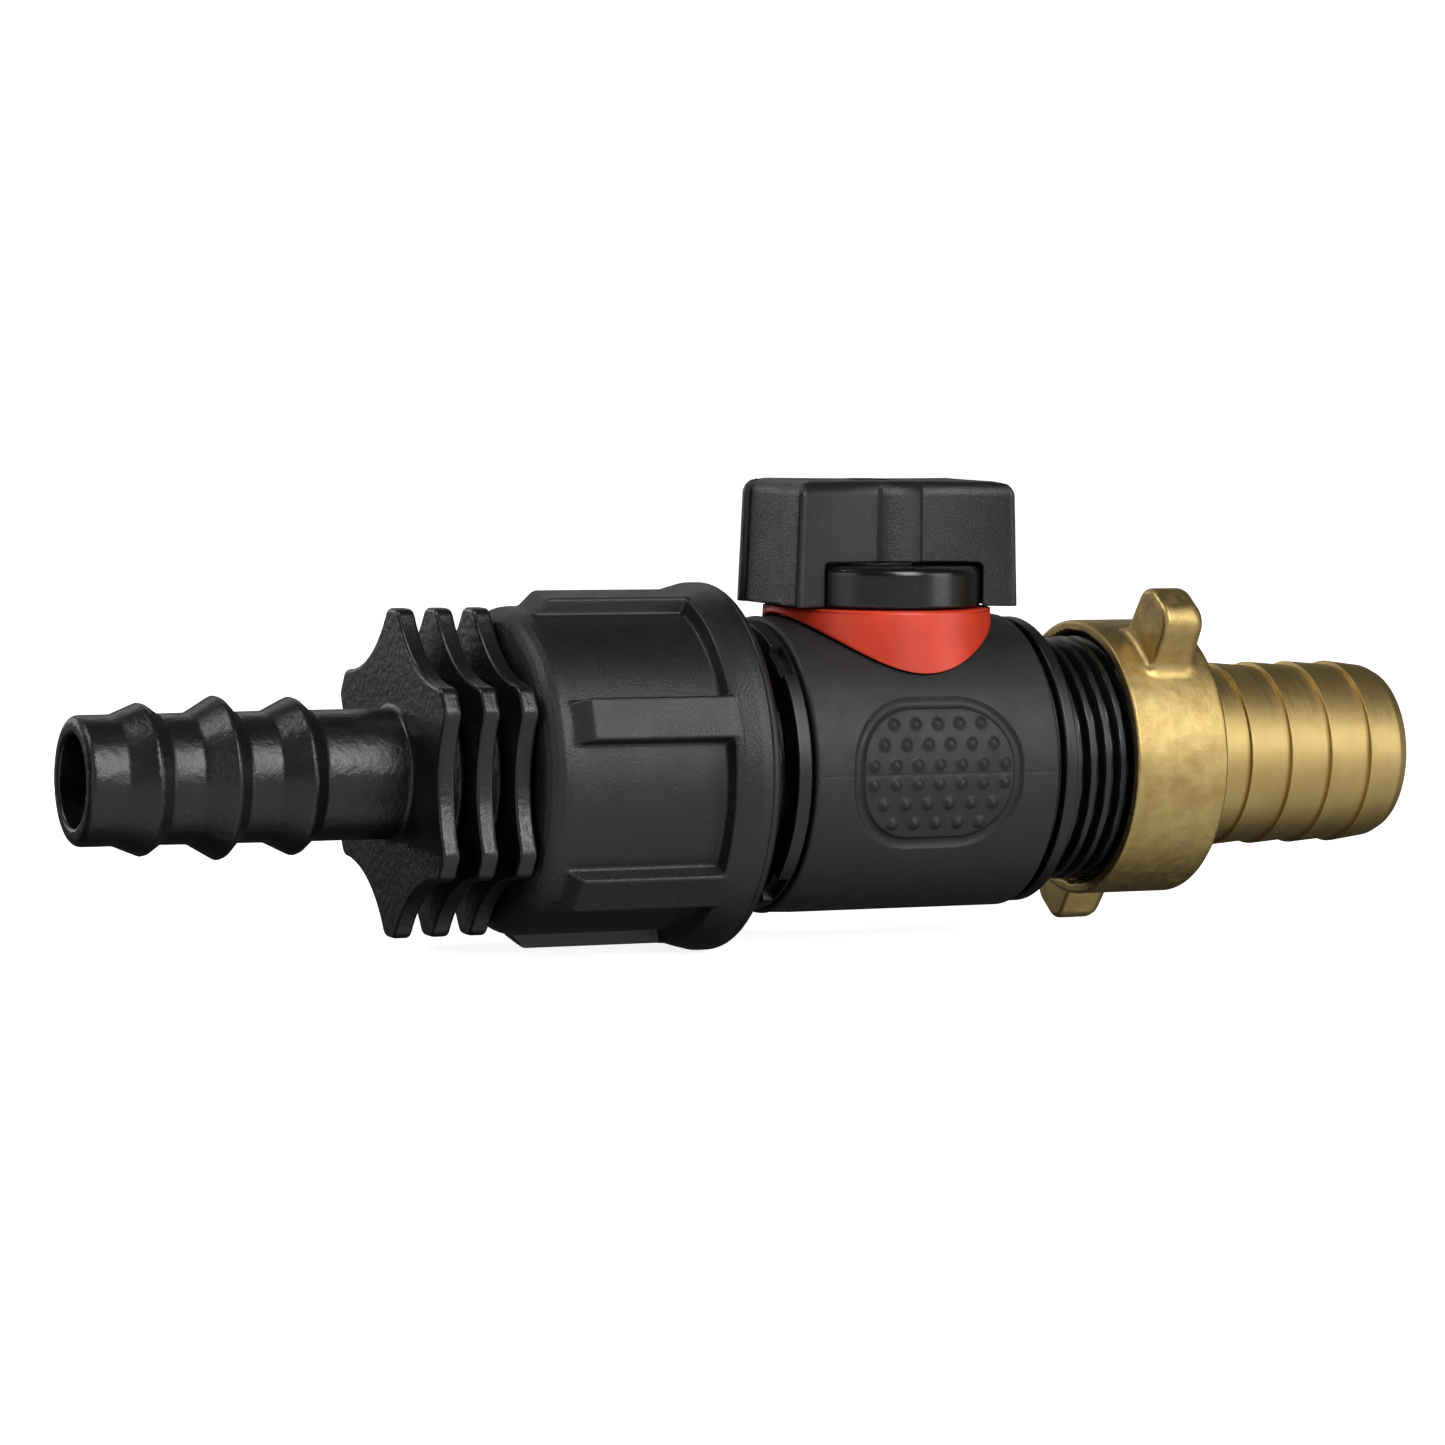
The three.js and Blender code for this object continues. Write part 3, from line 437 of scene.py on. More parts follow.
def cast_brass():
    looks = Looks("cast_brass", (0.62, 0.47, 0.21), 0.46, metallic=1.0)
    patch = looks.remap(looks.noise(2.6, detail=5, roughness=0.62), 0.32, 0.68, 0, 1)
    looks.color(looks.mix(patch, (0.39, 0.27, 0.10), (0.53, 0.40, 0.165)))
    looks.roughness(looks.remap(looks.noise(1.1, detail=4), 0.3, 0.7, 0.40, 0.54))
    looks.bump(looks.noise(1.6, detail=4, roughness=0.6), 0.06)
    looks.bump(looks.noise(0.22, detail=3, roughness=0.7), 0.012)
    return looks


def turned_brass():
    looks = Looks("turned_brass", (0.70, 0.54, 0.25), 0.4, metallic=1.0)
    rings = looks.noise(0.16, detail=3, roughness=0.6, place=looks.stretched(1, 0.02, 0.02))
    patch = looks.remap(looks.noise(5.0, detail=4), 0.3, 0.7, 0, 1)
    looks.color(looks.mix(patch, (0.45, 0.32, 0.122), (0.53, 0.39, 0.16)))
    looks.roughness(looks.remap(rings, 0.3, 0.7, 0.40, 0.52))
    looks.bump(rings, 0.010)
    looks.bump(looks.noise(0.9, detail=3), 0.012)
    return looks


def bright_steel():
    looks = Looks("bright_steel", (0.62, 0.62, 0.63), 0.28, metallic=1.0)
    looks.roughness(looks.remap(looks.noise(0.4, detail=3), 0.3, 0.7, 0.2, 0.36))
    looks.bump(looks.noise(0.15, detail=3), 0.004)
    return looks


brass_cast = cast_brass()
brass_turned = turned_brass()
steel = bright_steel()


# ---------------------------------------------------------------- inlet tail and union nut
def inlet_hose_tail():
    low, high = span("inlet_hose_tail")
    tip, face = low[0], high[0]
    tube, bore, core, collar = 6.6, 4.7, 10.0, 12.4
    first_crest, crest_pitch = tip + 7, 8
    plate_x, pitch, thick, plates = tip + 33.8, 4.15, 1.9, 3
    points = 6
    tip_r, flank_r, tip_half = high[2], 13.5, 1.55
    collar_x = tip + 47.8
    corners = [(tip, bore, 0.35), (tip, tube, 0.85)]
    for i, rise in enumerate((1.1, 1.65, 1.35)):
        crest = first_crest + crest_pitch * i
        r = tube + 0.04 * i
        corners += [
            (crest - 2.7 - 0.2 * rise, r, 1.2), (crest - 0.1, r + rise * 1.03, 0.3),
            (crest + 0.35, r + rise * 0.9, 0.3), (crest + 1.75, r, 0.7),
        ]
    corners += [
        (plate_x + 0.8, tube + 0.08, 0), (plate_x + 0.8, core, 0),
        (collar_x, core, 0.3), (collar_x, collar, 0.3), (face, collar, 0.3), (face, PORT, 0.3),
        (collar_x - 2, PORT, 1.0), (plate_x, bore, 1.0),
    ]
    turned = rounded(corners, 5)
    half_step = TURN / (2 * points)
    chord = tip_r * math.sin(half_step) - tip_half * math.cos(half_step)
    sag = tip_r * math.cos(half_step) + tip_half * math.sin(half_step) - flank_r
    hollow = (chord ** 2 + sag ** 2) / (2 * sag)

    def field(x, y, z):
        r = np.hypot(y, z)
        body = outline_distance(x, r, turned)
        a = np.abs(folded(np.arctan2(z, y), points))
        out, side = r * np.cos(a), r * np.sin(a)
        flank = hollow - np.hypot(out - flank_r - hollow, side)
        point = out * math.cos(half_step) + side * math.sin(half_step) - tip_r
        plan = np.maximum(rmax(flank, point, 0.7), bore + 1 - r)
        n = np.clip(np.round((x - plate_x - thick / 2) / pitch), 0, plates - 1)
        plate = rmax(plan, np.abs(x - plate_x - thick / 2 - n * pitch) - thick / 2, 0.38)
        return rmin(body, plate, 0.5)

    new_piece("inlet_hose_tail", "inlet", "black_nylon", nylon_gloss.material,
              *skin(field, low, high))


def union_nut():
    low, high = span("union_nut")
    front, back = low[0], high[0]
    wall_r, flange_r, hole, bore = 17.0, high[1], 10.3, 13.6
    flange = back - 5.25
    rib_top, rib_half, rib_turn, ribs = 18.6, 2.25, math.radians(21), 6
    end_wall = 3.2
    turned = rounded([
        (front, hole, 0.4), (front, wall_r, 2.7),
        (flange, wall_r, 0.35), (flange + 0.45, rib_top - 0.1, 0.3),
        (flange + 1.5, rib_top + 0.25, 0.8), (flange + 3.2, flange_r, 1.6), (back, flange_r, 0.8),
        (back, bore + 0.7, 0.2), (back - 0.9, bore, 0),
        (front + end_wall, bore, 0.3), (front + end_wall, hole, 0.3),
    ], 6)
    start = front + 3.1

    def field(x, y, z):
        r = np.hypot(y, z)
        turn = np.arctan2(z, -y)
        body = outline_distance(x, r, turned)
        cutter = r - bore - nut_groove(x, turn, back, 0.55)
        cutter = np.maximum(cutter, slab(x, front + 4.5, back - 0.8))
        body = np.maximum(body, -cutter)
        a = folded(turn - rib_turn, ribs)
        up, side = r * np.cos(a), r * np.sin(a)
        ends = np.maximum((start - x) * 0.72 + (up - wall_r) * 0.69, x - flange - 0.9)
        rib = rmax(rmax(up - rib_top, np.abs(side) - rib_half, 0.32), ends, 0.3)
        rib = np.maximum(rib, wall_r - 1.6 - up)
        return rmin(body, rib, 0.3)

    nylon_matte.bump(nylon_matte.math("MULTIPLY", nylon_matte.ring(back - 1.0, 0.14), -1), 0.12)
    new_piece("union_nut", "nut", "black_nylon_matte", nylon_matte.material,
              *skin(field, low, high))


def washer(node, body, outer, inner):
    """A flat washer on the flow axis."""
    low, high = span(node)
    profile = supported(rounded([
        (low[0], inner, 0.2), (low[0], outer, 0.2), (high[0], outer, 0.2), (high[0], inner, 0.2),
    ]))
    new_piece(node, body, "seal_rubber", seal_rubber.material, *lathe(profile, 128))


# ---------------------------------------------------------------- threaded ends and the body
def thread_height(x, angle, start):
    """0 at the root to 1 on the crest of a right-hand thread that starts at start."""
    phase = (x - start) / THREAD_PITCH + angle / TURN - 0.5
    off = np.abs(phase - np.round(phase)) * THREAD_PITCH
    t = np.clip((0.74 - off) / 0.46, 0, 1)
    return t * t * (3 - 2 * t)


def threaded(a, r, t, start, end):
    """Lifts rows on the thread root between start and end to the thread's own height."""
    sign = 1 if end > start else -1
    run_in, run_out = (a - start) * sign, (end - a) * sign
    inside = (np.abs(r - THREAD_ROOT) < SAME) & (run_in > 0.05) & (run_out > 0.55)
    lift = thread_height(a, t, min(start, end)) * (THREAD_CREST - THREAD_ROOT)
    bevel = np.clip((run_out - 0.6) * 0.9, 0, 2)
    fade = np.clip(run_in / 0.4, 0, 1)
    return np.where(inside, r + np.minimum(lift, bevel) * fade, r)


def end_connector():
    low, high = span("end_connector")
    face, end = low[0], high[0]
    ring_r, ring_in, ring_out = high[1], -16.0, -14.4
    plug, groove = 12.3, 10.9
    groove_in, groove_out = CONNECTOR_GROOVE_X - 0.9, CONNECTOR_GROOVE_X + 0.9
    rim, inner = 0.45, ring_r - 0.9
    notch_half, spread, lean = 8, 52.5, -2
    mouth = [(face, PORT + 0.3), (face, THREAD_ROOT - 0.6), (face + 0.1, THREAD_ROOT - 0.5)]
    rows = [(x, THREAD_ROOT) for x in np.arange(face + 0.6, ring_in - 0.02, THREAD_ROW)]
    ring_and_plug = rounded([
        (ring_in, THREAD_ROOT, 0), (ring_in, ring_r, 0.2), (ring_out, ring_r, 0.2),
        (ring_out, plug, 0.1), (groove_in, plug, 0.1), (groove_in, groove, 0.1),
        (groove_out, groove, 0.1), (groove_out, plug, 0.1), (end, plug, 0.3), (end, PORT, 0.3),
    ])[:-1]
    profile = mouth + rows + supported(ring_and_plug, longest=0.12) + [(face + 0.3, PORT)]

    def shape(a, r, t):
        r = threaded(a, r, t, ring_in, face)
        side = np.abs((np.degrees(t) - lean + 90) % 180 - 90)
        notch = (np.abs(side - spread) < notch_half) & (r > inner)
        notch &= (a < ring_out - rim) & (a > ring_in - 0.01)
        return a, np.where(notch, inner, r)

    new_piece("end_connector", "valve", "black_acetal", acetal_black.material,
              *lathe(profile, 720, shape), sharp_deg=SOFT_EDGE_DEG)


def valve_body():
    low, high = span("valve_body")
    left, face = low[0], high[0]
    cavity_x, socket_x, socket = 10.2, -9.9, 12.6
    ring_in, ring_out, ring_r = 15.1, 16.8, high[1]
    barrel = rounded([
        (cavity_x, PORT, 0), (cavity_x, CAVITY, 0), (socket_x, CAVITY, 0), (socket_x, socket, 0),
        (left, socket, 0.3), (left, BARREL, 0.3), (ring_in, BARREL, 0.2),
        (ring_in, ring_r, 0.25), (ring_out, ring_r, 0.25),
    ])
    rows = [(x, THREAD_ROOT) for x in np.arange(ring_out + 0.02, face - 0.6, THREAD_ROW)]
    mouth = [
        (face - 0.1, THREAD_ROOT - 0.5), (face, THREAD_ROOT - 0.6),
        (face, PORT + 0.3), (face - 0.3, PORT),
    ]
    body = new_piece("valve_body", "valve", "black_acetal", acetal_black.material,
                     *lathe(supported(barrel)[:-1] + rows + mouth, 256,
                            lambda a, r, t: (a, threaded(a, r, t, ring_out, face))),
                     sharp_deg=SOFT_EDGE_DEG)
    hole, well, well_top, foot = 4.4, 5.5, 13.2, CAVITY + 0.8
    neck = rounded([(foot, hole, 0), (foot, NECK, 0), (NECK_TOP, NECK, 0.3), (NECK_TOP, hole, 0.3)])
    joined(body, lathe(supported(neck), 128, axis="Z"), "UNION")
    drill = [
        (0, ON_AXIS), (0, well), (well_top, well), (well_top, hole), (20, hole), (20, ON_AXIS),
    ]
    joined(body, lathe(drill, 96, axis="Z"), "DIFFERENCE")


def joined(piece, shape, operation):
    """Joins or cuts a piece with another closed shape."""
    mesh = bpy.data.meshes.new("tool")
    mesh.from_pydata(np.asarray(shape[0]) * MM, [], shape[1])
    tool = bpy.data.objects.new("tool", mesh)
    bpy.context.scene.collection.objects.link(tool)
    change = piece.modifiers.new("change", "BOOLEAN")
    change.operation = operation
    change.object = tool
    change.solver = "MANIFOLD"
    bpy.context.view_layer.update()
    found = piece.evaluated_get(bpy.context.evaluated_depsgraph_get())
    made = bpy.data.meshes.new_from_object(found)
    made.materials.clear()
    made.materials.append(piece.data.materials[0])
    made.shade_smooth()
    made.set_sharp_from_angle(angle=math.radians(SOFT_EDGE_DEG))
    piece.modifiers.clear()
    piece.data = made
    bpy.data.objects.remove(tool)


def oring(node, axis, at, centre, minor, body):
    """An O-ring round an axis: centre is its mean radius, minor its section's."""
    a = np.arange(20) * TURN / 20
    profile = [(at + minor * math.cos(t), centre + minor * math.sin(t)) for t in a]
    new_piece(node, body, "seal_rubber", seal_rubber.material, *lathe(profile, 128, axis=axis))


def seat(node, side):
    """A ring with a cup that follows the ball; side is -1 for the inlet."""
    contact = BALL + 0.3
    bore, outer, front, back = PORT - 0.1, 10.6, 5.2, 9.9
    reach = lambda r: math.sqrt(contact ** 2 - r ** 2)
    rim = reach(front)
    radii = [rim + (bore - rim) * k / 8 for k in range(9)]
    profile = [(back, bore), (back, outer), (front, outer)] + [(reach(r), r) for r in radii]
    points, quads = lathe(supported([(side * x, r) for x, r in profile]), 128)
    new_piece(node, "valve", "seat_ptfe", white_plastic.material, points, quads, sharp_deg=30)


def ball():
    low, high = span("ball")
    slot_half, slot_deep = 2.0, 2.3

    def field(x, y, z):
        sphere = np.sqrt(x * x + y * y + z * z) - BALL
        bore = np.hypot(y, z) - BALL_PORT
        slot = np.maximum(np.abs(x) - slot_half, BALL - slot_deep - z)
        return less(less(sphere, bore, 0.4), slot, 0.25)

    new_piece("ball", "handle", "ball_acetal", white_plastic.material,
              *skin(field, low, high, 0.35))


# ---------------------------------------------------------------- sleeve and collar
def grip_sleeve():
    low, high = span("grip_sleeve")
    left, right = low[0], high[0]
    outer, inner = SLEEVE, 14.45
    pad_deg, pad_x = 38, 10.6
    fine = np.radians(np.arange(-pad_deg, pad_deg, 0.45))
    rest = np.radians(np.arange(pad_deg, 180 - pad_deg, 2.0))
    columns = np.concatenate([fine, rest, fine + math.pi, rest + math.pi])
    pad_rows = [(x, outer) for x in np.arange(-10.4, 10.45, 0.12)]
    left_end = rounded([(left, inner, 0.15), (left, outer, 0.45), (-pad_x, outer, 0)])[:-1]
    right_end = rounded([(pad_x, outer, 0), (right, outer, 0.45), (right, inner, 0.15)])
    profile = supported(left_end, longest=0.8)[:-1] + pad_rows
    profile += supported(right_end, longest=0.8)[:-1]
    dot_pitch, dot_r, dot_rise = 2.53, 0.80, 0.42
    first_row_deg, row_deg = 3.6, 7.8
    dots = [((k - (count - 1) / 2) * dot_pitch, sign * math.radians(first_row_deg + row_deg * row))
            for row, count in enumerate((7, 6, 5)) for k in range(count) for sign in (-1, 1)]
    half_x, half_z, corner = 9.2, 7.28, 6.4

    def shape(a, r, t):
        turn = (t + math.pi / 2) % math.pi - math.pi / 2
        top = (np.abs(r - outer) < SAME) & (np.abs(turn) < 0.66)
        x, z = np.abs(a), np.abs(outer * np.sin(turn))
        qx, qz = x - half_x + corner, z - half_z + corner
        off = np.hypot(np.maximum(qx, 0), np.maximum(qz, 0))
        off = off + np.minimum(np.maximum(qx, qz), 0) - corner
        groove = 0.45 * np.clip(1 - (off / 0.62) ** 2, 0, 1) ** 0.8
        parting_line = 0.06 * np.exp(-(outer * np.sin(turn) / 0.11) ** 2)
        rise = np.zeros_like(a)
        for dot_x, dot_t in dots:
            rho = np.hypot(a - dot_x, outer * (turn - dot_t)) / dot_r
            dome = np.cos(math.pi / 2 * np.clip(rho, 0, 1)) ** 1.4
            rise = np.maximum(rise, dot_rise * dome)
        return a, np.where(top, r - (groove + parting_line) + rise, r)

    piece = new_piece("grip_sleeve", "valve", "soft_grip", soft_grip.material,
                      *lathe(profile, columns, shape), sharp_deg=50)
    hole = NECK + 0.8
    drill = [(5, ON_AXIS), (5, hole), (18, hole), (18, ON_AXIS)]
    joined(piece, lathe(drill, 96, axis="Z"), "DIFFERENCE")


def indicator_collar():
    top = span("indicator_collar")[1][2] + 0.12
    saddle = SLEEVE + 0.3
    wall, plate, inner = 1.5, 1.2, NECK + 0.3
    foot_r, taper, taper_z = 12.46, 0.38, 9.0

    def wall_radius(z):
        return foot_r - taper * np.clip((z - taper_z) / (top - taper_z), 0, 1)

    def foot(t, inset):
        """Height at which the wall meets the saddle over the sleeve."""
        z = np.full_like(t, 12.0)
        for _ in range(12):
            z = np.sqrt(saddle ** 2 - ((wall_radius(z) - inset) * np.sin(t)) ** 2)
        return z

    # a row is (share of the way up from the foot, inset from the outer wall, lift, fixed radius)
    outer_rows = [(0, 0.22, 0, 0), (0, 0.07, 0.05, 0), (0, 0, 0.18, 0)]
    outer_rows += [(k / 16, 0, 0.25 * (1 - k / 16), 0) for k in range(1, 16)]
    edge = 0.35
    for k in range(7):
        a = math.pi / 2 * k / 6
        outer_rows.append((1, edge * (1 - math.cos(a)), -edge * (1 - math.sin(a)), 0))
    outer_rows += [(1, 1.0, 0, 0), (1, 0, 0, inner + 0.2), (1, 0, -0.2, inner), (1, 0, -plate, inner)]
    inner_rows = [(1 - k / 12, wall, -plate * (1 - k / 12), 0) for k in range(13)]
    rows = outer_rows + inner_rows

    def shape(a, r, t):
        zs, rs = np.zeros_like(a), np.zeros_like(a)
        for i, (share, inset, lift, fixed) in enumerate(rows):
            base = foot(t[i], inset)
            zs[i] = base + (top - base) * share + lift
            rs[i] = fixed if fixed else wall_radius(zs[i]) - inset
        return zs, rs

    profile = [(0.0, 0.0)] * len(rows)
    new_piece("indicator_collar", "valve", "red_plastic", red_plastic.material,
              *lathe(profile, 256, shape, axis="Z"), sharp_deg=50)


# ---------------------------------------------------------------- stem and handle
def stem():
    low, high = span("stem")
    shoulder_z = BALL + 0.3
    corners = [
        (shoulder_z, 0, 0), (shoulder_z, STEM_SHOULDER, 0.15),
        (shoulder_z + 1.4, STEM_SHOULDER, 0.15), (shoulder_z + 1.4, STEM, 0),
    ]
    for low_z, high_z in ((14.1, 15.9), (16.4, 18.2)):
        corners += [
            (low_z, STEM, 0), (low_z, STEM_GROOVE, 0), (high_z, STEM_GROOVE, 0), (high_z, STEM, 0),
        ]
    turned = rounded(corners + [(NECK_TOP, STEM, 0.15), (NECK_TOP, 0, 0)])
    screw_hole, hole_floor = 1.6, 19.5

    def field(x, y, z):
        r = np.hypot(x, y)
        shaft = outline_distance(z, r, turned)
        square = rmax(np.abs(x) - SQUARE_HALF, np.abs(y) - SQUARE_HALF, 0.3)
        square = rmax(square, slab(z, 18.4, high[2]), 0.2)
        tang = np.maximum(np.abs(x) - 1.7, np.abs(y) - 3.8)
        tang = np.maximum(tang, slab(z, low[2], 11.1))
        hole = np.maximum(r - screw_hole, hole_floor - z)
        return less(np.minimum(np.minimum(shaft, square), tang), hole, 0.1)

    new_piece("stem", "handle", "ball_acetal", white_plastic.material, *skin(field, low, high))


def stem_washer():
    low, high = span("stem_washer")
    outer, inner = STEM_SHOULDER, 4.4
    profile = rounded([
        (low[2], inner, 0.1), (low[2], outer, 0.1), (high[2], outer, 0.1), (high[2], inner, 0.1),
    ])
    new_piece("stem_washer", "handle", "seat_ptfe", white_plastic.material,
              *lathe(supported(profile, margin=0.05), 96, axis="Z"))


def handle_disc():
    low, high = span("handle_disc")
    foot, top, outer = low[2], high[2], high[0]
    roof, inner, hole = top - 2.0, 9.6, 3.6
    stop_from, stop_arc = 200, 230
    profile = supported(rounded([
        (foot, inner, 0.2), (foot, outer, 0.25), (top, outer, 0.85),
        (top, hole, 0), (roof, hole, 0), (roof, inner, 0),
    ], 8), longest=1.0)

    def shape(a, r, t):
        flat = SOCKET_HALF / np.maximum(np.abs(np.cos(t)), np.abs(np.sin(t)))
        r = np.where(np.abs(r - hole) < SAME, flat, r)
        around = (np.degrees(t) - stop_from) % 360
        stop = (around < stop_arc) & (np.abs(r - inner) < 0.25)
        stop &= (a < roof - 0.01) & (a > foot + 0.19)
        return a, np.where(stop, NECK + 0.3, r)

    new_piece("handle_disc", "handle", "disc_gloss", disc_gloss.material,
              *lathe(profile, 256, shape, axis="Z"), sharp_deg=SOFT_EDGE_DEG)


def handle_knob():
    low, high = span("handle_knob")
    foot, top = low[2], high[2]
    half_x, half_y = high[0], high[1]
    hub_r, hub_half = 6.2, 2.35
    hub_edge = math.sqrt(hub_r ** 2 - hub_half ** 2)
    crease = hub_edge - 0.35
    wing, flare, bend = half_x - 0.8 - hub_half, half_y - crease, 1.6
    draft, waist = 0.033, 12.3
    disc_r, disc_top = 11.3, 21.5
    socket_top, recess_floor, recess_r, shank_r = 25.2, 26.6, 3.1, 1.9

    def field(x, y, z):
        shrink = 1 + draft * (z - foot) / (top - foot)
        u, v = np.abs(x) * shrink, np.abs(y) * shrink
        t = np.clip((u - hub_half - 0.25) / wing, 0, 1.2)
        wing_y = crease + flare * t ** bend
        lean = bend * flare * np.maximum(t, 0.02) ** (bend - 1) / wing
        long_face = (v - wing_y) / np.sqrt(1 + lean ** 2)
        scoop = waist + 0.42 * (np.clip(v / half_y, 0, 1)) ** 2.0
        rim = np.clip((v - half_y + 1.55) / 0.55, 0, 1)
        end_face = u - np.minimum(scoop + 0.55 * rim * rim * (3 - 2 * rim), half_x)
        bow = rmax(long_face, end_face, 0.8)
        hub = rmax(np.hypot(u, v) - hub_r, u - hub_half - 0.2, 0.3)
        plan = rmin(bow, hub, 0.35)
        solid = rmax(rmax(plan, z - top, 1.6), foot - z, 0.15)
        under = rmax(np.hypot(x, y) - disc_r, z - disc_top, 0.5)
        solid = less(solid, under, 0.18)
        socket = np.maximum(np.maximum(np.abs(x), np.abs(y)) - SOCKET_HALF, z - socket_top)
        recess = np.maximum(np.hypot(x, y) - recess_r, recess_floor - z)
        shank = np.hypot(x, y) - shank_r
        solid = np.maximum(solid, -np.minimum(socket, shank))
        return less(solid, recess, 0.3)

    new_piece("handle_knob", "handle", "knob_satin", knob_satin.material,
              *skin(field, low, high, STEP * 0.9))


def handle_screw():
    low, high = span("handle_screw")
    seat_z, top = 26.9, high[2]
    dome, head_r, shank_r = 3.1, 2.7, 1.3
    arm, slot_half, slot_deep = 1.5, 0.3, 0.9

    def field(x, y, z):
        r = np.hypot(x, y)
        head = rmax(r - head_r, np.sqrt(r * r + (z - top + dome) ** 2) - dome, 0.1)
        head = np.maximum(head, seat_z - z)
        shank = rmax(r - shank_r, slab(z, low[2], seat_z + 0.2), 0.3)
        cross = np.minimum(np.maximum(np.abs(x) - slot_half, np.abs(y) - arm),
                           np.maximum(np.abs(y) - slot_half, np.abs(x) - arm))
        cross = np.maximum(cross, top - slot_deep - z)
        return np.maximum(np.minimum(head, shank), -cross)

    new_piece("handle_screw", "handle", "screw_steel", steel.material,
              *skin(field, low, high, 0.13))


# ---------------------------------------------------------------- brass end
def outlet_hose_tail():
    low, high = span("outlet_hose_tail")
    face, end = low[0], high[0]
    tube, bore, flange = 9.75, 7.6, high[1]
    first_step, step_pitch, steps = 40.7, 5.0, 4
    corners = [
        (face, bore, 0.2), (face, flange, 0.25),
        (face + 2, flange, 0.25), (face + 2, tube + 0.1, 0.3),
    ]
    for i in range(steps):
        x = first_step + step_pitch * i
        corners += [(x - 0.02, tube - 0.12, 0), (x + 0.06, tube + 0.28, 0.05)]
    corners += [(end - 1.2, tube - 0.25, 1.2), (end, tube - 0.85, 0.45), (end, bore, 0.3)]
    profile = supported(rounded(corners, 6), margin=0.05, longest=1.5)
    new_piece("outlet_hose_tail", "outlet", "tail_brass", brass_turned.material,
              *lathe(profile, 256), sharp_deg=50)


def wing_nut():
    low, high = span("wing_nut")
    front, back = low[0], high[0]
    wall, bore, hole, thick = 14.87, 13.5, 10.3, 1.5
    ear_top, ear_half, ear_from, ear_to = 21.5, 3.55, 27.4, 32.6
    ear_turn = math.radians(56)
    turned = rounded([
        (front, bore + 0.35, 0), (front, wall, 0.25), (back, wall, 0.6), (back, hole, 0.3),
        (back - thick, hole, 0), (back - thick, bore, 0.3), (front + 0.4, bore, 0),
    ])

    def field(x, y, z):
        r = np.hypot(y, z)
        turn = np.arctan2(z, -y)
        body = outline_distance(x, r, turned)
        cutter = r - bore - nut_groove(x, turn, 0, 0.5)
        cutter = np.maximum(cutter, slab(x, front + 0.3, back - thick - 0.8))
        body = np.maximum(body, -cutter)
        a = folded(turn - ear_turn, 2)
        up, side = r * np.cos(a), r * np.sin(a)
        ear = rmax(np.abs(side) - ear_half + 0.03 * (up - wall), up - ear_top, 2.3)
        ear = rmax(rmax(ear, x - ear_to - 0.05 * (wall + 2 - up), 1.5), ear_from - x, 0.6)
        ear = np.maximum(ear, wall - 0.9 - up)
        return rmin(body, ear, 1.1)

    new_piece("wing_nut", "wing", "nut_brass", brass_cast.material, *skin(field, low, high))


inlet_hose_tail()
washer("inlet_washer", "inlet", SEAL, PORT)
union_nut()
end_connector()
oring("connector_oring", "X", CONNECTOR_GROOVE_X, 11.77, 0.68, "valve")
seat("seat_inlet", -1)
seat("seat_outlet", 1)
ball()
valve_body()
grip_sleeve()
indicator_collar()
stem()
stem_washer()
oring("stem_oring_lower", "Z", 15.0, 3.7, 0.6, "handle")
oring("stem_oring_upper", "Z", 17.3, 3.7, 0.6, "handle")
handle_disc()
handle_knob()
handle_screw()
washer("outlet_washer", "outlet", SEAL, 7.6)
outlet_hose_tail()
wing_nut()


# ---------------------------------------------------------------- camera, floor and light
def add_camera():
    """The photo's camera: a long lens in front, a little to the left and above."""
    yaw, lift, roll = math.radians(24.41), math.radians(4.46), math.radians(0.83)
    distance = 528.5
    aim = Vector((-17.79, 0, 4.52))
    back = Vector((-math.sin(yaw) * math.cos(lift), -math.cos(yaw) * math.cos(lift), math.sin(lift)))
    right = Vector((math.cos(yaw), -math.sin(yaw), 0))
    up = back.cross(right)
    side = right * math.cos(roll) + up * math.sin(roll)
    above = up * math.cos(roll) - right * math.sin(roll)
    data = bpy.data.cameras.new("camera")
    data.sensor_width = 36
    data.lens = 125.2
    data.clip_start, data.clip_end = 0.01, 20
    camera = bpy.data.objects.new("camera", data)
    turn = Matrix((side, above, back)).transposed().to_4x4()
    camera.matrix_world = Matrix.Translation((aim + back * distance) * MM) @ turn
    bpy.context.scene.collection.objects.link(camera)
    bpy.context.scene.camera = camera


def add_floor():
    """A pale sweep: flat under the object, curving up behind it."""
    floor_z = cad_box[0].z
    half, depth, bend, height = 3.0, 1.6, 0.6, 2.5
    path = [(-2.5, 0.0), (depth - bend, 0.0)]
    for k in range(1, 13):
        a = math.pi / 2 * k / 12
        path.append((depth - bend + bend * math.sin(a), bend * (1 - math.cos(a))))
    path.append((depth, height))
    points = [(x, y, floor_z + z) for y, z in path for x in (-half, half)]
    faces = [(2 * i, 2 * i + 1, 2 * i + 3, 2 * i + 2) for i in range(len(path) - 1)]
    mesh = bpy.data.meshes.new("floor")
    mesh.from_pydata(points, [], faces)
    mesh.shade_smooth()
    looks = Looks("pale_floor", (0.9, 0.9, 0.9), 0.9)
    looks.shader.inputs["Emission Color"].default_value = (1, 1, 1, 1)
    looks.shader.inputs["Emission Strength"].default_value = 0.85
    mesh.materials.append(looks.material)
    floor = bpy.data.objects.new("floor", mesh)
    bpy.context.scene.collection.objects.link(floor)
    floor.visible_glossy = False
    floor.visible_diffuse = False


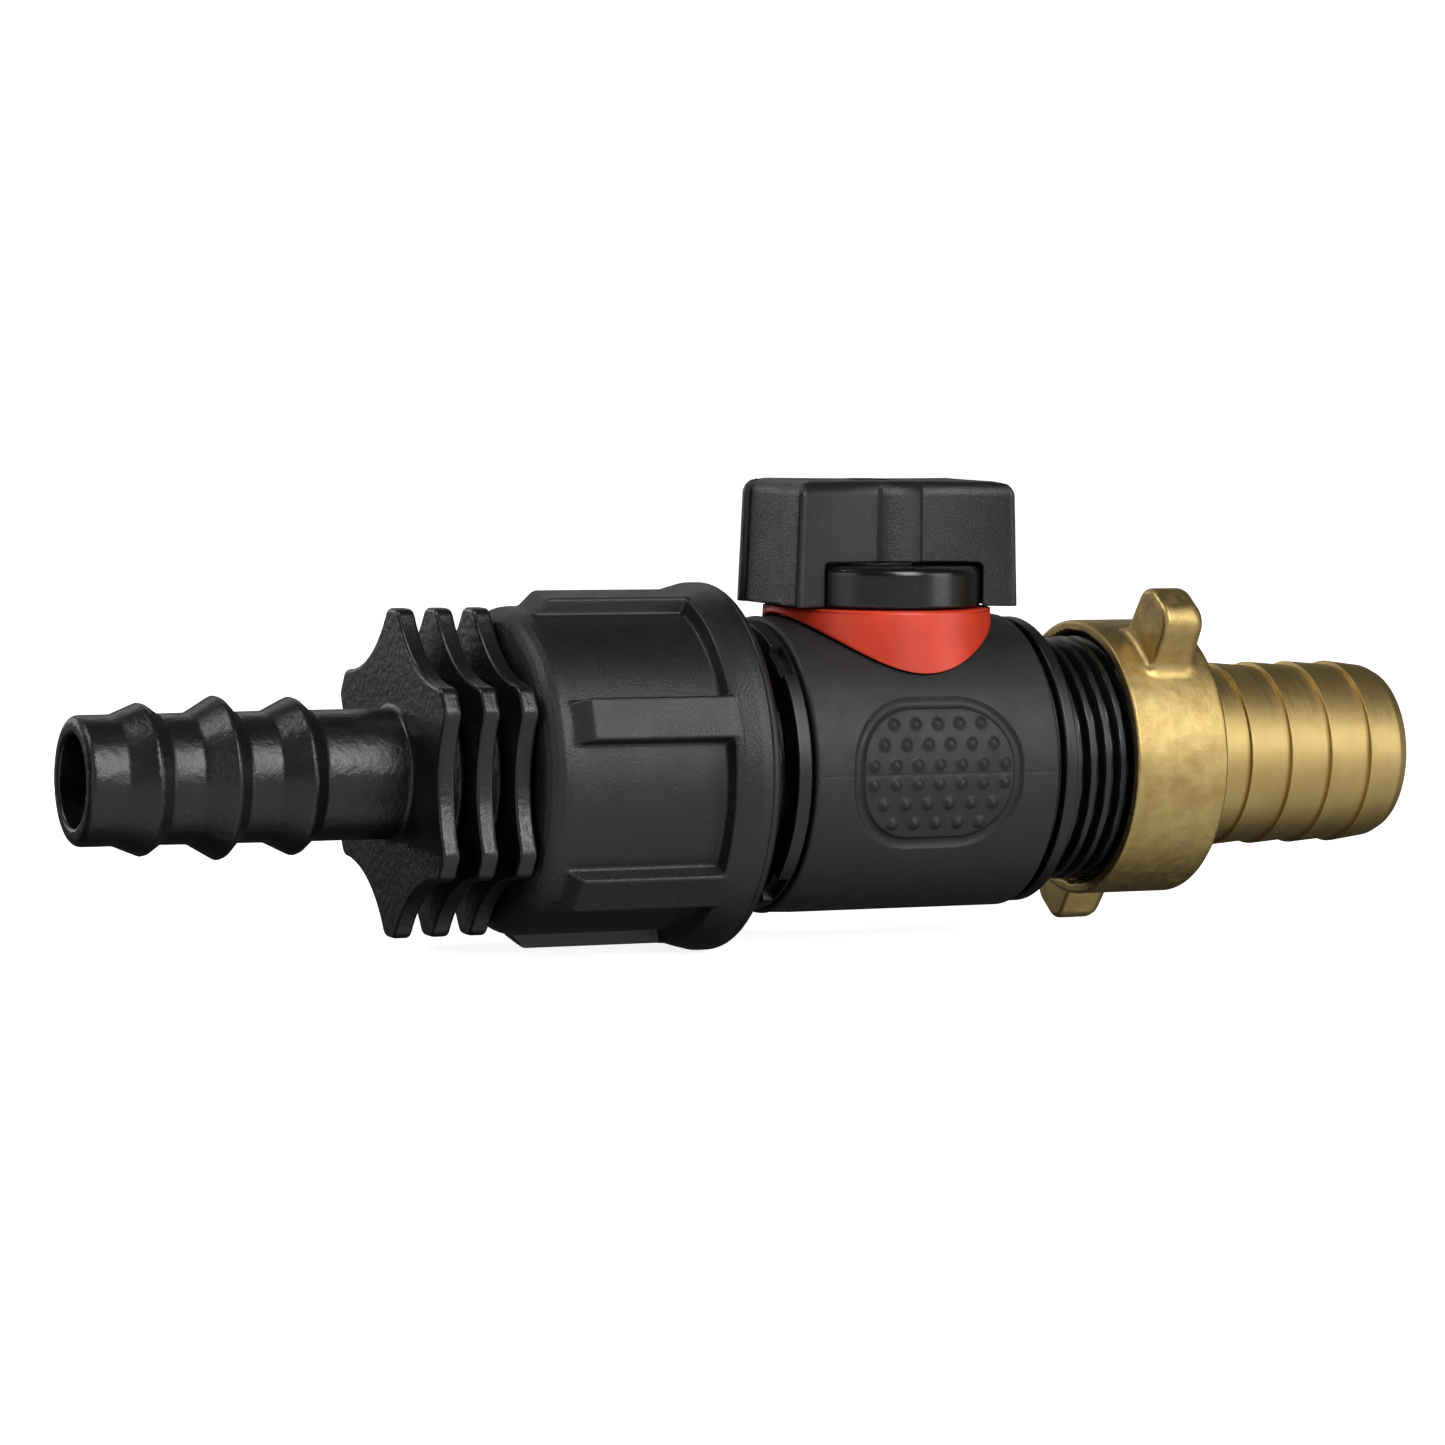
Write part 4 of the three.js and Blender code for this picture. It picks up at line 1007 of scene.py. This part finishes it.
def softbox(name, azimuth, lift, distance, width, height, power):
    """An area light that faces the object; azimuth runs from the front, -Y, round to +X."""
    around, up = math.radians(azimuth), math.radians(lift)
    away = Vector((math.sin(around) * math.cos(up), -math.cos(around) * math.cos(up), math.sin(up)))
    data = bpy.data.lights.new(name, "AREA")
    data.shape = "RECTANGLE"
    data.size, data.size_y = width, height
    data.energy = power
    light = bpy.data.objects.new(name, data)
    light.location = away * distance
    light.rotation_mode = "QUATERNION"
    light.rotation_quaternion = away.to_track_quat("Z", "Y")
    light.visible_camera = False
    bpy.context.scene.collection.objects.link(light)


DIM, BRIGHT = 0.04, 0.76    # strength of the studio behind and above, and in front and below


def smooth_ramp(tree, value, low, high, to_low, to_high):
    ramp = tree.nodes.new("ShaderNodeMapRange")
    ramp.interpolation_type = "SMOOTHSTEP"
    tree.links.new(value, ramp.inputs["Value"])
    for key, number in zip(MAP_INPUTS, (low, high, to_low, to_high)):
        ramp.inputs[key].default_value = number
    return ramp.outputs["Result"]


def add_world():
    """A dim studio, lighter towards the front and below, where the pale floor lies."""
    world = bpy.data.worlds.new("studio")
    world.use_nodes = True
    tree = world.node_tree
    coords = tree.nodes.new("ShaderNodeTexCoord")
    parts = tree.nodes.new("ShaderNodeSeparateXYZ")
    tree.links.new(coords.outputs["Generated"], parts.inputs[0])
    front = smooth_ramp(tree, parts.outputs["Y"], 0.3, -0.6, 0, 1)
    below = smooth_ramp(tree, parts.outputs["Z"], 0.15, -0.15, 0, 1)
    both = tree.nodes.new("ShaderNodeMath")
    both.operation = "MULTIPLY"
    tree.links.new(front, both.inputs[0])
    tree.links.new(below, both.inputs[1])
    strength = smooth_ramp(tree, both.outputs[0], 0, 1, DIM, BRIGHT)
    tree.links.new(strength, tree.nodes["Background"].inputs["Strength"])
    tree.nodes["Background"].inputs["Color"].default_value = (1, 1, 1, 1)
    bpy.context.scene.world = world


def add_lights():
    add_world()
    softbox("key", 12, 34, 1.2, 0.5, 0.9, 12)
    softbox("left", -62, 16, 1.2, 0.45, 0.7, 1.6)
    softbox("top_left", -105, 55, 1.2, 0.45, 0.45, 4.5)
    softbox("right", 50, 12, 1.2, 0.5, 0.6, 3)
    softbox("back_left", -156, 12, 1.2, 0.5, 0.5, 1.6)
    softbox("back", 170, 30, 1.3, 0.9, 0.3, 1.0)


add_floor()
add_camera()
add_lights()
bpy.context.scene.view_settings.view_transform = "Standard"
